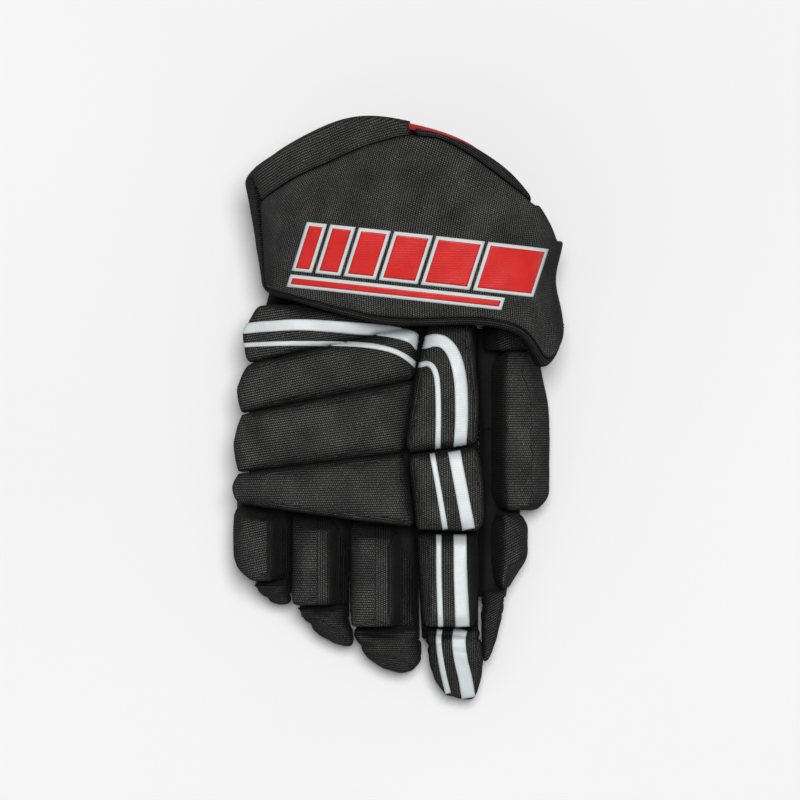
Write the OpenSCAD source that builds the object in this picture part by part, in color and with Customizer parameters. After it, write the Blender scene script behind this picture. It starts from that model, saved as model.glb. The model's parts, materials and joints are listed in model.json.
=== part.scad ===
// Ice hockey glove for the right hand, lying palm down.
// +X points to the thumb side, +Y to the cuff, +Z out of the back of the hand.
// The origin is the middle of the wrist line, on the plane the palm rests on.

/* [Padding] */
// Height of the padded rolls over the back of the hand
roll_h = 24; // [16:1:28]
// Height of the two knuckle pads above the back liner
knuckle_h = 26; // [18:1:30]
// Height of the finger pads above the finger sleeves
finger_pad_h = 24; // [16:1:26]
// Chamfer around the top of each pad
pad_chamfer = 6; // [3:0.5:7]
// Thickness of the knit cover fabric with its backing
skin = 1.2; // [0.8:0.1:2]
// Space left between neighbouring pads
pad_gap = 0.9; // [0.6:0.1:1.5]

/* [Hand room] */
// Height of the underside of the back liner above the resting plane
room_h = 32; // [28:1:36]
// Height of the finger sleeves
sleeve_h = 22; // [18:1:24]
// Wall of the leather sleeves
sleeve_wall = 1.6; // [1:0.1:2]
// Thickness of the palm leather and of the palm patch
leather = 1.6; // [1:0.1:2]

/* [Cuff] */
// Total thickness of the padded cuff wall on the back and the sides
cuff_wall = 12; // [10:0.5:14]
// Thickness of the plastic stiffener inside the cuff
stiffener_t = 1.6; // [1:0.1:2.4]
// Width of the rolled hem along the wrist side of the cuff
hem_w = 5; // [3:0.5:6]
// Width of the binding along the mouth of the cuff
binding_w = 2.6; // [1.5:0.1:3]

/* [Hidden] */

knit = "#2b2a2a";
leather_black = "#191919";
foam_grey = "#8d8d8a";
plastic_white = "#d8d8d4";
stripe_white = "#dee8e6";
red = "#c8242c";

film = 0.35;
rest_gap = 0.5;
foam_clear = 0.3;
eps = 0.01;

palm_z = leather;
liner_t = 2;
back_z = room_h + liner_t;
room_floor = palm_z + leather + 0.4;

// Seams between the rolls, from the little-finger side to the knuckle column: [x, y, x, y]
seams = [
    [-85, 9, 11.5, 7],
    [-91.5, -26.5, 11.5, -2.5],
    [-95, -56.5, 8, -36],
    [-97, -92, 1.8, -79.6],
    [-98, -110, 8.5, -124.5]
];
roll_bulge = 3;

knuckle_upper = [
    [5, -79.5], [46, -74.5], [47, -49], [44, -21], [42, -2], [17, -2],
    [13, -23], [8, -44], [3.4, -73]
];
knuckle_lower = [
    [10, -125.4], [47, -126.4], [50, -121], [50, -101], [47, -80], [45, -76.5], [5, -81.5], [6, -86]
];

// Each finger: knuckle joint y, middle joint y
little_joints = [-115, -157.5];
ring_joints = [-120, -172];
middle_joints = [-125, -185];
index_joints = [-128, -184.8];

little_pad = [
    [-89, -156.7], [-66.5, -156.7], [-66.5, -116.8], [-98, -112.4], [-100, -118], [-100, -143],
    [-97, -150]
];
ring_pad = [[-64.5, -171.2], [-31.5, -171.2], [-31.5, -121.3], [-64.5, -116.9]];
middle_pad = [[-29.5, -184.2], [8.5, -184.2], [8.5, -126.4], [-29.5, -121.5]];
index_pad = [[14.5, -184], [45.5, -184], [47, -160], [47, -128.4], [10.5, -128.4], [14, -140]];

little_tip = [[-78, -170], [-71, -172], [-66.5, -170], [-66.5, -158.3], [-88, -158.3], [-84, -164]];
ring_tip = [
    [-52, -187], [-43, -194], [-36, -197], [-31.5, -196], [-31.5, -172.8], [-61, -172.8], [-57, -179]
];
middle_tip = [
    [-19, -203], [-10, -210], [1, -213], [8, -211], [13, -204.5], [11, -185.8], [-24, -185.8]
];
index_tip = [
    [21, -217], [28, -226], [41, -229], [45, -228], [48.5, -218], [50, -204], [47, -185.6],
    [16, -185.6], [18, -206]
];

// Thumb: start and end of each segment along y, and cross-sections in x and z over the thumb sleeve
thumb_root_y = -21.5;
thumb_mid_y = -114.2;
thumb_end_y = -161;
thumb_distal_start = thumb_mid_y - 1.6;
// Sides of the thumb sleeve, and of the narrower sleeve beyond its joint
thumb_x0 = 51.5;
thumb_x1 = 77.5;
thumb_distal_x1 = 68;
saddle_section = [
    [50.5, room_floor], [78, room_floor], [84, 14], [79, 30], [66, 44], [60, 43], [50.5, 30]
];
thumb_section = [
    [50.5, 24.2], [79, 24.2], [79, 6], [88.5, 6], [90, 22], [80, 38], [66, 47], [60, 46], [50.5, 30]
];
thumb_distal_section = [
    [50.5, 25.6], [69, 25.6], [69, 8], [76.5, 8], [77, 20], [73, 33], [64, 43], [58, 42], [50.5, 32]
];
thumb_tip = [
    [51.5, -204], [54.5, -204], [59, -195], [62, -184], [67, -169], [68, -162.2], [51.5, -162.2]
];

// Cuff cross-sections in x and z: near the wrist and at the mouth
cuff_low_y = -40;
cuff_high_y = 130;
cuff_low = [
    [-48, 0.5], [68, 0.5], [90, 12], [98, 38], [93, 58], [76, 67], [45, 70], [10, 70], [-25, 66],
    [-52, 58], [-68, 46], [-72, 28], [-64, 8]
];
cuff_high = [
    [-62, 0.5], [62, 0.5], [86, 10], [98, 36], [96, 64], [82, 89], [46, 105], [0, 111], [-46, 107],
    [-82, 93], [-99, 66], [-101, 36], [-88, 10]
];
side_z = 40;
palm_panel_z = 12;
lower_start_y = 20;
thin_below = 26;

hem_line = [
    [-79, 15], [-59, 10], [-34, 3], [-13, -3], [7, -4], [27, -2], [48, -2], [71, -6], [80, -12], [83, -31]
];
right_side = [[93, -23], [97, -13], [97, -6], [94.5, 4], [94.5, 43], [95, 49]];
mouth_right = [[74, 82], [64, 94], [52, 101], [33, 112], [15, 116], [2, 115.5]];
mouth_left = [[-7, 120], [-16, 121], [-34, 120], [-56, 113], [-74, 104], [-95, 91], [-97, 88]];
left_side = [[-97, 71], [-96, 56], [-94, 46], [-88, 31]];
crease_left = [[1, 108], [-22, 101], [-47, 93], [-67, 83], [-87, 72]];
crease_right = [[80, 67], [64, 80], [48, 94], [27, 108]];
strip_edge = [[-87, 52], [-81, 34]];

function unit(v) = v / norm(v);

// Corner b of a counter-clockwise outline, moved inward by d from both of its edges
function corner(a, b, c, d) =
    let (
        e = unit(b - a),
        f = unit(c - b),
        m = [-e[1], e[0]],
        n = [-f[1], f[0]]
    )
    b + d * (m + n) / (1 + m * n);

function inset(p, d) = [
    for (i = [0:len(p) - 1])
        corner(p[(i + len(p) - 1) % len(p)], p[i], p[(i + 1) % len(p)], d)
];

function shift_y(p, d) = [for (q = p) [q[0], q[1] + d]];
function reversed(p) = [for (i = [len(p) - 1:-1:0]) p[i]];

function roll_outline(i) =
    let (
        top = seams[i],
        low = seams[i + 1],
        g = pad_gap / 2,
        mid_x = min(top[0], low[0]) - roll_bulge,
        mid_y = (top[1] + low[1]) / 2
    )
    [
        [low[0], low[1] + g], [low[2], low[3] + g], [top[2], top[3] - g], [top[0], top[1] - g],
        [mid_x, mid_y]
    ];

function cuff_ring(y) =
    cuff_low + (cuff_high - cuff_low) * (y - cuff_low_y) / (cuff_high_y - cuff_low_y);

// The palm side of the cuff wall is thin, so the inner outlines drop there
function cuff_inner(y, d) = [
    for (p = inset(cuff_ring(y), d))
        [p[0], p[1] < thin_below ? max(p[1] - d, 0.5 + d * 0.25) : p[1]]
];

main_outline = concat(
    shift_y(hem_line, hem_w), right_side, crease_right, crease_left, strip_edge
);

module block(outline, z0, z1, chamfer) {
    hull() {
        translate([0, 0, z0])
            linear_extrude(z1 - z0 - chamfer)
                polygon(outline);
        translate([0, 0, z0])
            linear_extrude(z1 - z0)
                polygon(inset(outline, chamfer));
    }
}

// Fabric cover of a pad: a cup that is open on its base side
module pad_cover(outline, z0, z1, chamfer = pad_chamfer, wall = skin) {
    color(knit)
        difference() {
            block(outline, z0, z1, chamfer);
            block(inset(outline, wall), z0 - 1, z1 - wall, chamfer);
        }
}

module pad_foam(outline, z0, z1, chamfer = pad_chamfer) {
    d = skin + foam_clear;
    color(foam_grey)
        block(inset(outline, d), z0, z1 - d, chamfer);
}

// Leather tray under a finger segment, open on top and at its joint ends
module sleeve(x0, x1, y0, y1, y_open0, y_open1) {
    color(leather_black)
        difference() {
            translate([x0, y0, rest_gap])
                cube([x1 - x0, y1 - y0, sleeve_h - rest_gap]);
            translate([x0 + sleeve_wall, y_open0, rest_gap + sleeve_wall])
                cube([x1 - x0 - 2 * sleeve_wall, y_open1 - y_open0, sleeve_h]);
        }
}

module finger_sleeve(pad, joints) {
    side = 3;
    xs = [for (p = pad) p[0]];
    sleeve(min(xs) + side, max(xs) - side, joints[1] + 0.8, joints[0], joints[1], joints[0] + 1);
}

tip_z = 10;
tip_top = 36;
tip_wall = 3;
tip_chamfer = 7;
tray_inset = 0.4;

module tip_cover(outline) {
    pad_cover(outline, tip_z, tip_top, tip_chamfer, tip_wall);
}

// Leather half of a fingertip: a tray whose joint end is open
module tip_tray(outline, joint_y) {
    xs = [for (p = outline) p[0]];
    side = 3;
    open_y = 6;
    color(leather_black)
        difference() {
            translate([0, 0, rest_gap])
                linear_extrude(tip_z - rest_gap)
                    polygon(inset(outline, tray_inset));
            translate([0, 0, rest_gap + sleeve_wall])
                linear_extrude(tip_z)
                    polygon(inset(outline, tray_inset + sleeve_wall));
            translate([min(xs) + side, joint_y + 1 - open_y, rest_gap + sleeve_wall])
                cube([max(xs) - min(xs) - 2 * side, open_y, tip_z]);
        }
}

module section_tube(section, y0, y1) {
    color(knit)
        translate([0, y1, 0])
            rotate([90, 0, 0])
                linear_extrude(y1 - y0)
                    difference() {
                        polygon(section);
                        polygon(inset(section, skin));
                    }
}

module section_foam(section, y0, y1) {
    color(foam_grey)
        translate([0, y1 - 1, 0])
            rotate([90, 0, 0])
                linear_extrude(y1 - y0 - 2)
                    polygon(inset(section, skin + foam_clear));
}

module cuff_slice(y, d) {
    translate([0, y, 0])
        rotate([90, 0, 0])
            linear_extrude(eps)
                polygon(cuff_inner(y, d));
}

module cuff_loft(d, extra = 0) {
    hull() {
        cuff_slice(cuff_low_y - extra, d);
        cuff_slice(cuff_high_y + extra, d);
    }
}

module cuff_layer(d_out, d_in) {
    difference() {
        cuff_loft(d_out);
        cuff_loft(d_in, 1);
    }
}

module prism(outline, z0 = -10, z1 = 130) {
    translate([0, 0, z0])
        linear_extrude(z1 - z0)
            polygon(outline);
}

// ---- hand ----

palm_outline = [
    [-88, -112.2], [8, -124], [46, -127], [46, -14], [40, -4], [18, 1.4], [-18, 1.4],
    [-70, -4], [-88, -18]
];

module palm_sheet() {
    color(leather_black)
        translate([0, 0, palm_z])
            linear_extrude(leather)
                polygon(palm_outline);
}

module palm_patch() {
    color(leather_black)
        linear_extrude(leather)
            polygon([
                [-80, -100], [4, -110], [38, -112], [38, -20], [16, 1.2], [-16, 1.2], [-60, -10], [-80, -30]
            ]);
}

module back_liner() {
    color(leather_black)
        translate([0, 0, room_h])
            linear_extrude(liner_t - 0.1)
                polygon([[-90, -110], [8.5, -123.6], [46, -125], [43, 5], [-76, 6], [-90, -20]]);
}

module ulnar_gusset() {
    color(knit)
        translate([-88, -106, room_floor])
            cube([2, 98, room_h - room_floor - 0.2]);
}

module radial_gusset() {
    color(knit)
        translate([43, -122, room_floor])
            cube([2, 40, room_h - room_floor - 0.2]);
}

// Padded fabric between the cuff and the thumb, open on its palm side
module thumb_saddle() {
    depth = 17;
    color(knit)
        translate([0, -1.5, 0])
            rotate([90, 0, 0])
                linear_extrude(depth)
                    difference() {
                        polygon(saddle_section);
                        polygon(inset(saddle_section, skin));
                        translate([saddle_section[0][0] + skin, 0])
                            square([26, room_floor + 2 * skin]);
                    }
}

// The first roll narrows to a point under the cuff, so its chamfer is smaller
function roll_chamfer(i) = i == 0 ? pad_chamfer / 2 : pad_chamfer;

module back_roll_cover(i) {
    pad_cover(roll_outline(i), back_z, back_z + roll_h, roll_chamfer(i));
}

module back_roll_1_cover() { back_roll_cover(0); }
module back_roll_2_cover() { back_roll_cover(1); }
module back_roll_3_cover() { back_roll_cover(2); }
module back_roll_4_cover() { back_roll_cover(3); }

module back_roll_foams() {
    for (i = [0:3])
        pad_foam(roll_outline(i), back_z, back_z + roll_h, roll_chamfer(i));
}

module knuckle_pad_upper_cover() { pad_cover(knuckle_upper, back_z, back_z + knuckle_h); }
module knuckle_pad_lower_cover() { pad_cover(knuckle_lower, back_z, back_z + knuckle_h); }

module knuckle_foams() {
    pad_foam(knuckle_upper, back_z, back_z + knuckle_h);
    pad_foam(knuckle_lower, back_z, back_z + knuckle_h);
}

// A strip of printed film lying on a pad, from one point to another
module stripe(a, b, width, z) {
    d = width / 2 * [-(b - a)[1], (b - a)[0]] / norm(b - a);
    color(stripe_white)
        translate([0, 0, z])
            linear_extrude(film)
                polygon([a - d, b - d, b + d, a + d]);
}

wide = 6.5;
thin = 2.8;

module back_stripes() {
    stripe([-84, -5], [-54, -3], wide, back_z + roll_h);
    stripe([-84, -13], [-66, -12.5], thin, back_z + roll_h);
    stripe([-26, -16], [4, -21], thin, back_z + roll_h);
}

module knuckle_stripes() {
    stripe([34, -30], [36, -67], wide, back_z + knuckle_h);
    stripe([20, -33], [21.5, -66], thin, back_z + knuckle_h);
    stripe([33, -89], [38, -117], wide, back_z + knuckle_h);
    stripe([19.5, -89], [24, -117], thin, back_z + knuckle_h);
}

// ---- fingers ----

finger_top = sleeve_h + finger_pad_h;

module little_pad_cover() { pad_cover(little_pad, sleeve_h, finger_top); }
module little_pad_foam() { pad_foam(little_pad, sleeve_h, finger_top); }
module little_sleeve() { finger_sleeve(little_pad, little_joints); }
module little_tip_cover() { tip_cover(little_tip); }
module little_tip_sleeve() { tip_tray(little_tip, little_joints[1]); }

module ring_pad_cover() { pad_cover(ring_pad, sleeve_h, finger_top); }
module ring_pad_foam() { pad_foam(ring_pad, sleeve_h, finger_top); }
module ring_sleeve() { finger_sleeve(ring_pad, ring_joints); }
module ring_tip_cover() { tip_cover(ring_tip); }
module ring_tip_sleeve() { tip_tray(ring_tip, ring_joints[1]); }

module middle_pad_cover() { pad_cover(middle_pad, sleeve_h, finger_top); }
module middle_pad_foam() { pad_foam(middle_pad, sleeve_h, finger_top); }
module middle_sleeve() { finger_sleeve(middle_pad, middle_joints); }
module middle_tip_cover() { tip_cover(middle_tip); }
module middle_tip_sleeve() { tip_tray(middle_tip, middle_joints[1]); }

module index_pad_cover() { pad_cover(index_pad, sleeve_h, finger_top); }
module index_pad_foam() { pad_foam(index_pad, sleeve_h, finger_top); }
module index_sleeve() { finger_sleeve(index_pad, index_joints); }
module index_tip_cover() { tip_cover(index_tip); }
module index_tip_sleeve() { tip_tray(index_tip, index_joints[1]); }

module index_pad_stripes() {
    stripe([36, -136], [37, -177], wide, finger_top);
    stripe([24, -136], [24, -177], thin, finger_top);
}

module index_tip_stripes() {
    stripe([37.5, -193.5], [40, -220], wide, tip_top);
    stripe([26, -193.5], [29, -216], thin, tip_top);
}

// ---- thumb ----

module thumb_pad_cover() { section_tube(thumb_section, thumb_mid_y, thumb_root_y); }
module thumb_pad_foam() { section_foam(thumb_section, thumb_mid_y, thumb_root_y); }

module thumb_sleeve() {
    sleeve(thumb_x0, thumb_x1, thumb_mid_y, thumb_root_y, thumb_mid_y - 1, thumb_root_y + 1);
}

module thumb_distal_cover() {
    section_tube(thumb_distal_section, thumb_end_y, thumb_distal_start);
}

module thumb_distal_foam() {
    section_foam(thumb_distal_section, thumb_end_y, thumb_distal_start);
}

module thumb_tip_sleeve() {
    sleeve(
        thumb_x0, thumb_distal_x1, thumb_end_y + 0.2, thumb_distal_start,
        thumb_end_y - 1, thumb_distal_start + 1
    );
}

module thumb_stiffener() {
    color(plastic_white)
        translate([53, -158, sleeve_h + 0.6])
            cube([15, 39, stiffener_t]);
}

module thumb_tip_cap() { pad_cover(thumb_tip, rest_gap, 32, 4, 2); }

// ---- cuff ----

cover_d = 2;
layer_gap = 0.2;
liner_wall = 1.2;
foam_d = cuff_wall - stiffener_t - liner_wall - 3 * layer_gap;
plastic_d = foam_d + layer_gap;
liner_d = plastic_d + stiffener_t + layer_gap;
// Half width of the blocks that cut the cuff into panels
reach = 110;

module cuff_main_cover() {
    color(knit)
        intersection() {
            cuff_layer(0, cover_d);
            prism(main_outline, side_z);
        }
}

module cuff_main_foam() {
    color(foam_grey)
        intersection() {
            cuff_layer(cover_d + layer_gap, foam_d);
            prism(inset(main_outline, 1), side_z + 1);
        }
}

module cuff_stiffener() {
    color(plastic_white)
        intersection() {
            cuff_layer(plastic_d, plastic_d + stiffener_t);
            prism([[-60, 22], [76, 12], [76, 60], [44, 88], [0, 98], [-44, 86], [-66, 66]], side_z + 8);
        }
}

// Padded panels between the main panel's crease and the binding
module cuff_rim_cover() {
    left = concat(
        shift_y(mouth_left, -binding_w - 0.3), [[-96.5, 72]], reversed(shift_y(crease_left, 0.8))
    );
    right = concat(
        reversed(shift_y(crease_right, 0.8)),
        shift_y([for (i = [0:3]) mouth_right[i]], -binding_w - 0.3)
    );
    color(knit)
        intersection() {
            cuff_layer(0, foam_d);
            union() {
                prism(left, side_z);
                prism(right, side_z);
            }
        }
}

module cuff_left_panel() {
    strip = concat([[-97.5, 71]], left_side, [[-82, 16.5]], [[-82, 34], [-88, 52], [-88, 71]]);
    color(knit)
        intersection() {
            cuff_layer(0, foam_d);
            union() {
                prism(strip, side_z);
                translate([-reach, lower_start_y, palm_panel_z])
                    cube([60, 70, side_z - palm_panel_z - 0.5]);
            }
        }
}

module cuff_right_panel() {
    color(knit)
        intersection() {
            cuff_layer(0, foam_d);
            translate([50, lower_start_y, palm_panel_z])
                cube([60, 42, side_z - palm_panel_z - 0.5]);
        }
}

module cuff_palm_panel() {
    color(leather_black)
        intersection() {
            cuff_layer(0, cover_d);
            translate([-reach, lower_start_y, -1])
                cube([2 * reach, 70, palm_panel_z + 0.7]);
        }
}

module cuff_liner() {
    color(red)
        intersection() {
            cuff_layer(liner_d, liner_d + liner_wall);
            translate([-reach, lower_start_y + 1, -1])
                cube([2 * reach, 64, 130]);
        }
}

module cuff_hem() {
    band = concat(hem_line, [[91, -24]], reversed(shift_y(hem_line, hem_w - 0.3)));
    color(knit)
        intersection() {
            cuff_layer(0, foam_d);
            prism(band, side_z);
        }
}

module mouth_binding() {
    left = concat(mouth_left, reversed(shift_y(mouth_left, -binding_w)));
    right = concat(mouth_right, reversed(shift_y(mouth_right, -binding_w)));
    color(red)
        intersection() {
            cuff_layer(0, liner_d);
            union() {
                prism(left, side_z);
                prism(right, side_z);
            }
        }
}

// Three slanted bars of printed film on the main panel
module cuff_emblem() {
    color(red)
        intersection() {
            cuff_layer(-film, 0);
            union() {
                for (x = [-40, 0, 40])
                    prism([[x - 12, 20], [x + 4, 20], [x + 16, 55], [x, 55]], side_z);
            }
        }
}

palm_sheet();
palm_patch();
back_liner();
ulnar_gusset();
radial_gusset();
thumb_saddle();
back_roll_1_cover();
back_roll_2_cover();
back_roll_3_cover();
back_roll_4_cover();
back_roll_foams();
knuckle_pad_upper_cover();
knuckle_pad_lower_cover();
knuckle_foams();
back_stripes();
knuckle_stripes();
little_pad_cover();
little_pad_foam();
little_sleeve();
little_tip_cover();
little_tip_sleeve();
ring_pad_cover();
ring_pad_foam();
ring_sleeve();
ring_tip_cover();
ring_tip_sleeve();
middle_pad_cover();
middle_pad_foam();
middle_sleeve();
middle_tip_cover();
middle_tip_sleeve();
index_pad_cover();
index_pad_foam();
index_sleeve();
index_tip_cover();
index_tip_sleeve();
index_pad_stripes();
index_tip_stripes();
thumb_pad_cover();
thumb_pad_foam();
thumb_sleeve();
thumb_distal_cover();
thumb_distal_foam();
thumb_stiffener();
thumb_tip_cap();
thumb_tip_sleeve();
cuff_main_cover();
cuff_main_foam();
cuff_stiffener();
cuff_rim_cover();
cuff_left_panel();
cuff_right_panel();
cuff_palm_panel();
cuff_liner();
cuff_hem();
mouth_binding();
cuff_emblem();
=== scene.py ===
"""Looks of an ice hockey glove for the right hand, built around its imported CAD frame."""
import json
import math
from contextlib import contextmanager

import bmesh
import bpy
import numpy as np
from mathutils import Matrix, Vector
from mathutils.bvhtree import BVHTree

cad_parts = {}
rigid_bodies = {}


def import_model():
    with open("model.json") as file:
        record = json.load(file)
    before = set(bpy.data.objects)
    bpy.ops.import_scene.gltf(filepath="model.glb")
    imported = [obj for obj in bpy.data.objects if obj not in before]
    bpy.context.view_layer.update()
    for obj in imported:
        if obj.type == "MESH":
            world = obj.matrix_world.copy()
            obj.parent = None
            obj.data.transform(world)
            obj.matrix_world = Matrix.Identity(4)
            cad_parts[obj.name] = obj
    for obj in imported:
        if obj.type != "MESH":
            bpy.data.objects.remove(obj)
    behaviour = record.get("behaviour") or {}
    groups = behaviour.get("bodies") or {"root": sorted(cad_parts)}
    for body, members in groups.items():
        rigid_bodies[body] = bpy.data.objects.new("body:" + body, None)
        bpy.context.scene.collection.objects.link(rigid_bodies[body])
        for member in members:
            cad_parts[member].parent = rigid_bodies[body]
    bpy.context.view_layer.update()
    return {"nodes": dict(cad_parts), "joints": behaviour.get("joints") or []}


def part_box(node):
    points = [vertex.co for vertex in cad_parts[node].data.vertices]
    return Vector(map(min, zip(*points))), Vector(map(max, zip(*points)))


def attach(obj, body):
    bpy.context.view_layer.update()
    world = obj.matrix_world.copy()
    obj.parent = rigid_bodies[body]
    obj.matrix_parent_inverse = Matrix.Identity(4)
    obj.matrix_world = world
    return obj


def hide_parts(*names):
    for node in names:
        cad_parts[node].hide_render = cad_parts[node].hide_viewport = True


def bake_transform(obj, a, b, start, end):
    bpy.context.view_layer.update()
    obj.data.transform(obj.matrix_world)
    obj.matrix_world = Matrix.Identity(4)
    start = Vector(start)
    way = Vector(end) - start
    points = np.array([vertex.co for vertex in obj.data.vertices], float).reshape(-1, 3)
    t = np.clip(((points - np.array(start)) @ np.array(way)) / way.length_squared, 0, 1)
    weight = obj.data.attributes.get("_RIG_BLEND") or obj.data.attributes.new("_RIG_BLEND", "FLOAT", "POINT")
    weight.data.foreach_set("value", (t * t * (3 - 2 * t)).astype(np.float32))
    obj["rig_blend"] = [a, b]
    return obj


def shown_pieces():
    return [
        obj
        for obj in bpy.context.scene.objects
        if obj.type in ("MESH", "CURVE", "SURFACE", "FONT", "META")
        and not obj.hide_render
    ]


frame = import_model()

MM = 0.001
FINGERS = ("little", "ring", "middle", "index")


# ---------------- materials

class Nodes:
    """Short names for the shader nodes that the materials use."""

    def __init__(self, name):
        self.material = bpy.data.materials.new(name)
        self.material.use_nodes = True
        self.tree = self.material.node_tree
        self.shader = self.tree.nodes["Principled BSDF"]

    def add(self, kind, **values):
        node = self.tree.nodes.new(kind)
        for key, value in values.items():
            setattr(node, key, value)
        return node

    def link(self, out, into):
        self.tree.links.new(out, into)

    def math(self, operation, a, b=0.0, clamp=False):
        node = self.add("ShaderNodeMath", operation=operation, use_clamp=clamp)
        for slot, value in zip(node.inputs, (a, b)):
            if isinstance(value, (int, float)):
                slot.default_value = value
            else:
                self.link(value, slot)
        return node.outputs[0]

    def plus(self, a, b):
        return self.math("ADD", a, b)

    def times(self, a, b, clamp=False):
        return self.math("MULTIPLY", a, b, clamp)

    def noise(self, vector, scale, detail=2.0, rough=0.5):
        node = self.add("ShaderNodeTexNoise")
        node.inputs["Scale"].default_value = scale
        node.inputs["Detail"].default_value = detail
        node.inputs["Roughness"].default_value = rough
        self.link(vector, node.inputs["Vector"])
        return node.outputs["Fac"]

    def place(self):
        """The place on the object, in metres."""
        return self.add("ShaderNodeTexCoord").outputs["Object"]

    def weave(self):
        """(vector, along the ribs, across the ribs), in millimetres on the cloth."""
        source = self.add("ShaderNodeAttribute", attribute_name="weave")
        split = self.add("ShaderNodeSeparateXYZ")
        self.link(source.outputs["Vector"], split.inputs[0])
        return source.outputs["Vector"], split.outputs[0], split.outputs[1]

    def ramp(self, factor, stops):
        node = self.add("ShaderNodeValToRGB")
        while len(node.color_ramp.elements) < len(stops):
            node.color_ramp.elements.new(0.5)
        for element, (place, color) in zip(node.color_ramp.elements, stops):
            element.position = place
            element.color = (*color, 1.0)
        self.link(factor, node.inputs[0])
        return node.outputs[0]

    def bump(self, height, distance_mm):
        node = self.add("ShaderNodeBump")
        node.inputs["Strength"].default_value = 1.0
        node.inputs["Distance"].default_value = distance_mm * MM
        self.link(height, node.inputs["Height"])
        return node.outputs[0]

    def finish(self, color, roughness, normal, sheen=0.0, specular=0.3, shaded=True):
        """Links up the shader. A shaded material is darkened by the mesh's shade values."""
        if shaded:
            # Multiplies in the painted shade that shade_pieces stores on the mesh.
            shade = self.add("ShaderNodeAttribute", attribute_name="shade")
            darken = self.add("ShaderNodeMix", data_type="RGBA", blend_type="MULTIPLY")
            darken.inputs[0].default_value = 1.0
            self.link(color, darken.inputs[6])
            self.link(shade.outputs["Color"], darken.inputs[7])
            color = darken.outputs[2]
        self.link(color, self.shader.inputs["Base Color"])
        if isinstance(roughness, float):
            self.shader.inputs["Roughness"].default_value = roughness
        else:
            self.link(roughness, self.shader.inputs["Roughness"])
        self.link(normal, self.shader.inputs["Normal"])
        self.shader.inputs["Sheen Weight"].default_value = sheen
        self.shader.inputs["Specular IOR Level"].default_value = specular
        return self.material


def wave(n, value, pitch, shift=0.0):
    """A wave from 0 to 1 along value, one crest per pitch."""
    turned = n.plus(n.times(value, math.tau / pitch), shift)
    return n.plus(n.times(n.math("SINE", turned), 0.5), 0.5)


def bead_rows(n, along, across, rib, bead):
    """Rows one rib apart, and beads along them, offset from row to row."""
    row = n.math("FLOOR", n.math("DIVIDE", across, rib))
    ribs = wave(n, across, rib, -math.pi / 2)
    return ribs, wave(n, n.plus(along, n.times(row, bead / 2)), bead)


RIB = 1.45


def knit(name, rib=RIB, bead=1.25, light=(0.198, 0.198, 0.192), depth=0.4):
    """Ribbed knit: rows of beads, coloured lighter on their crests and darker in the gaps as painted
    highlight and painted shade, sparse bright spots painted as glints, and slow changes of tone.
    """
    n = Nodes(name)
    vector, along, across = n.weave()
    ribs, beads = bead_rows(n, along, across, rib, bead)
    fuzz = n.noise(vector, 1.7, 3.0, 0.7)
    slow = n.noise(vector, 0.05, 2.0)
    # Sparse bright spots: painted glints.
    glint_specks = n.math("POWER", n.noise(vector, 1.1, 1.0), 6.0)
    stitch = n.times(ribs, n.plus(n.times(beads, 0.75), 0.25))
    tone = n.times(stitch, n.plus(n.times(fuzz, 1.5), 0.1))
    tone = n.plus(tone, n.times(glint_specks, 3.0))
    tone = n.times(tone, n.plus(n.times(slow, 1.2), 0.35), clamp=True)
    # The colour follows the stitch height: painted highlight on the bead crests, painted shade in the gaps.
    dark, middle = (0.0022, 0.0024, 0.0026), tuple(0.3 * c for c in light)
    color = n.ramp(tone, [(0.0, dark), (0.5, middle), (1.0, light)])
    height = n.plus(stitch, n.times(fuzz, 0.5))
    return n.finish(color, 0.9, n.bump(height, depth), sheen=0.02, specular=0.08)


def mesh_cloth(name, cell=1.5):
    """Open stretch mesh: small round holes in offset rows."""
    n = Nodes(name)
    vector, along, across = n.weave()
    hole = n.times(*bead_rows(n, along, across, cell, cell))
    fuzz = n.noise(vector, 1.8, 3.0)
    tone = n.times(n.math("SUBTRACT", 1.0, hole), fuzz, clamp=True)
    color = n.ramp(tone, [(0.0, (0.002, 0.002, 0.002)), (1.0, (0.035, 0.034, 0.034))])
    return n.finish(color, 0.9, n.bump(tone, 0.4), specular=0.1)


def suede(name, dark=(0.009, 0.009, 0.009), light=(0.034, 0.032, 0.031), shaded=True):
    """Synthetic suede: fine nap over a soft grain, polished where it rubs."""
    n = Nodes(name)
    place = n.place()
    nap = n.noise(place, 2600.0, 3.0, 0.7)
    grain = n.noise(place, 420.0, 4.0, 0.6)
    worn = n.noise(place, 34.0, 3.0)
    tone = n.plus(n.times(nap, 0.5), n.times(grain, 0.5))
    tone = n.times(tone, n.plus(worn, 0.45), clamp=True)
    color = n.ramp(tone, [(0.15, dark), (0.75, light)])
    rough = n.math("SUBTRACT", 0.95, n.times(worn, 0.35))
    height = n.plus(grain, n.times(nap, 0.4))
    return n.finish(color, rough, n.bump(height, 0.35), sheen=0.03, specular=0.15, shaded=shaded)


def film(name, color, shade):
    """Transfer film pressed into the knit: satin, with the ribs showing through faintly."""
    n = Nodes(name)
    vector, _, across = n.weave()
    ribs = wave(n, across, RIB)
    slow = n.noise(vector, 0.12, 3.0)
    tint = n.ramp(slow, [(0.3, shade), (0.7, color)])
    height = n.plus(n.times(ribs, 0.25), n.noise(vector, 0.8, 2.0))
    return n.finish(tint, 0.42, n.bump(height, 0.12), specular=0.45)


def tape(name, dark, light):
    """Woven binding tape with slanted yarns."""
    n = Nodes(name)
    place = n.place()
    split = n.add("ShaderNodeSeparateXYZ")
    n.link(place, split.inputs[0])
    slant = n.plus(split.outputs[0], split.outputs[1])
    yarn = wave(n, slant, 0.0011)
    fuzz = n.noise(place, 900.0, 3.0)
    tone = n.times(yarn, fuzz, clamp=True)
    color = n.ramp(tone, [(0.0, dark), (0.6, light)])
    return n.finish(color, 0.6, n.bump(yarn, 0.2), sheen=0.1)


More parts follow.
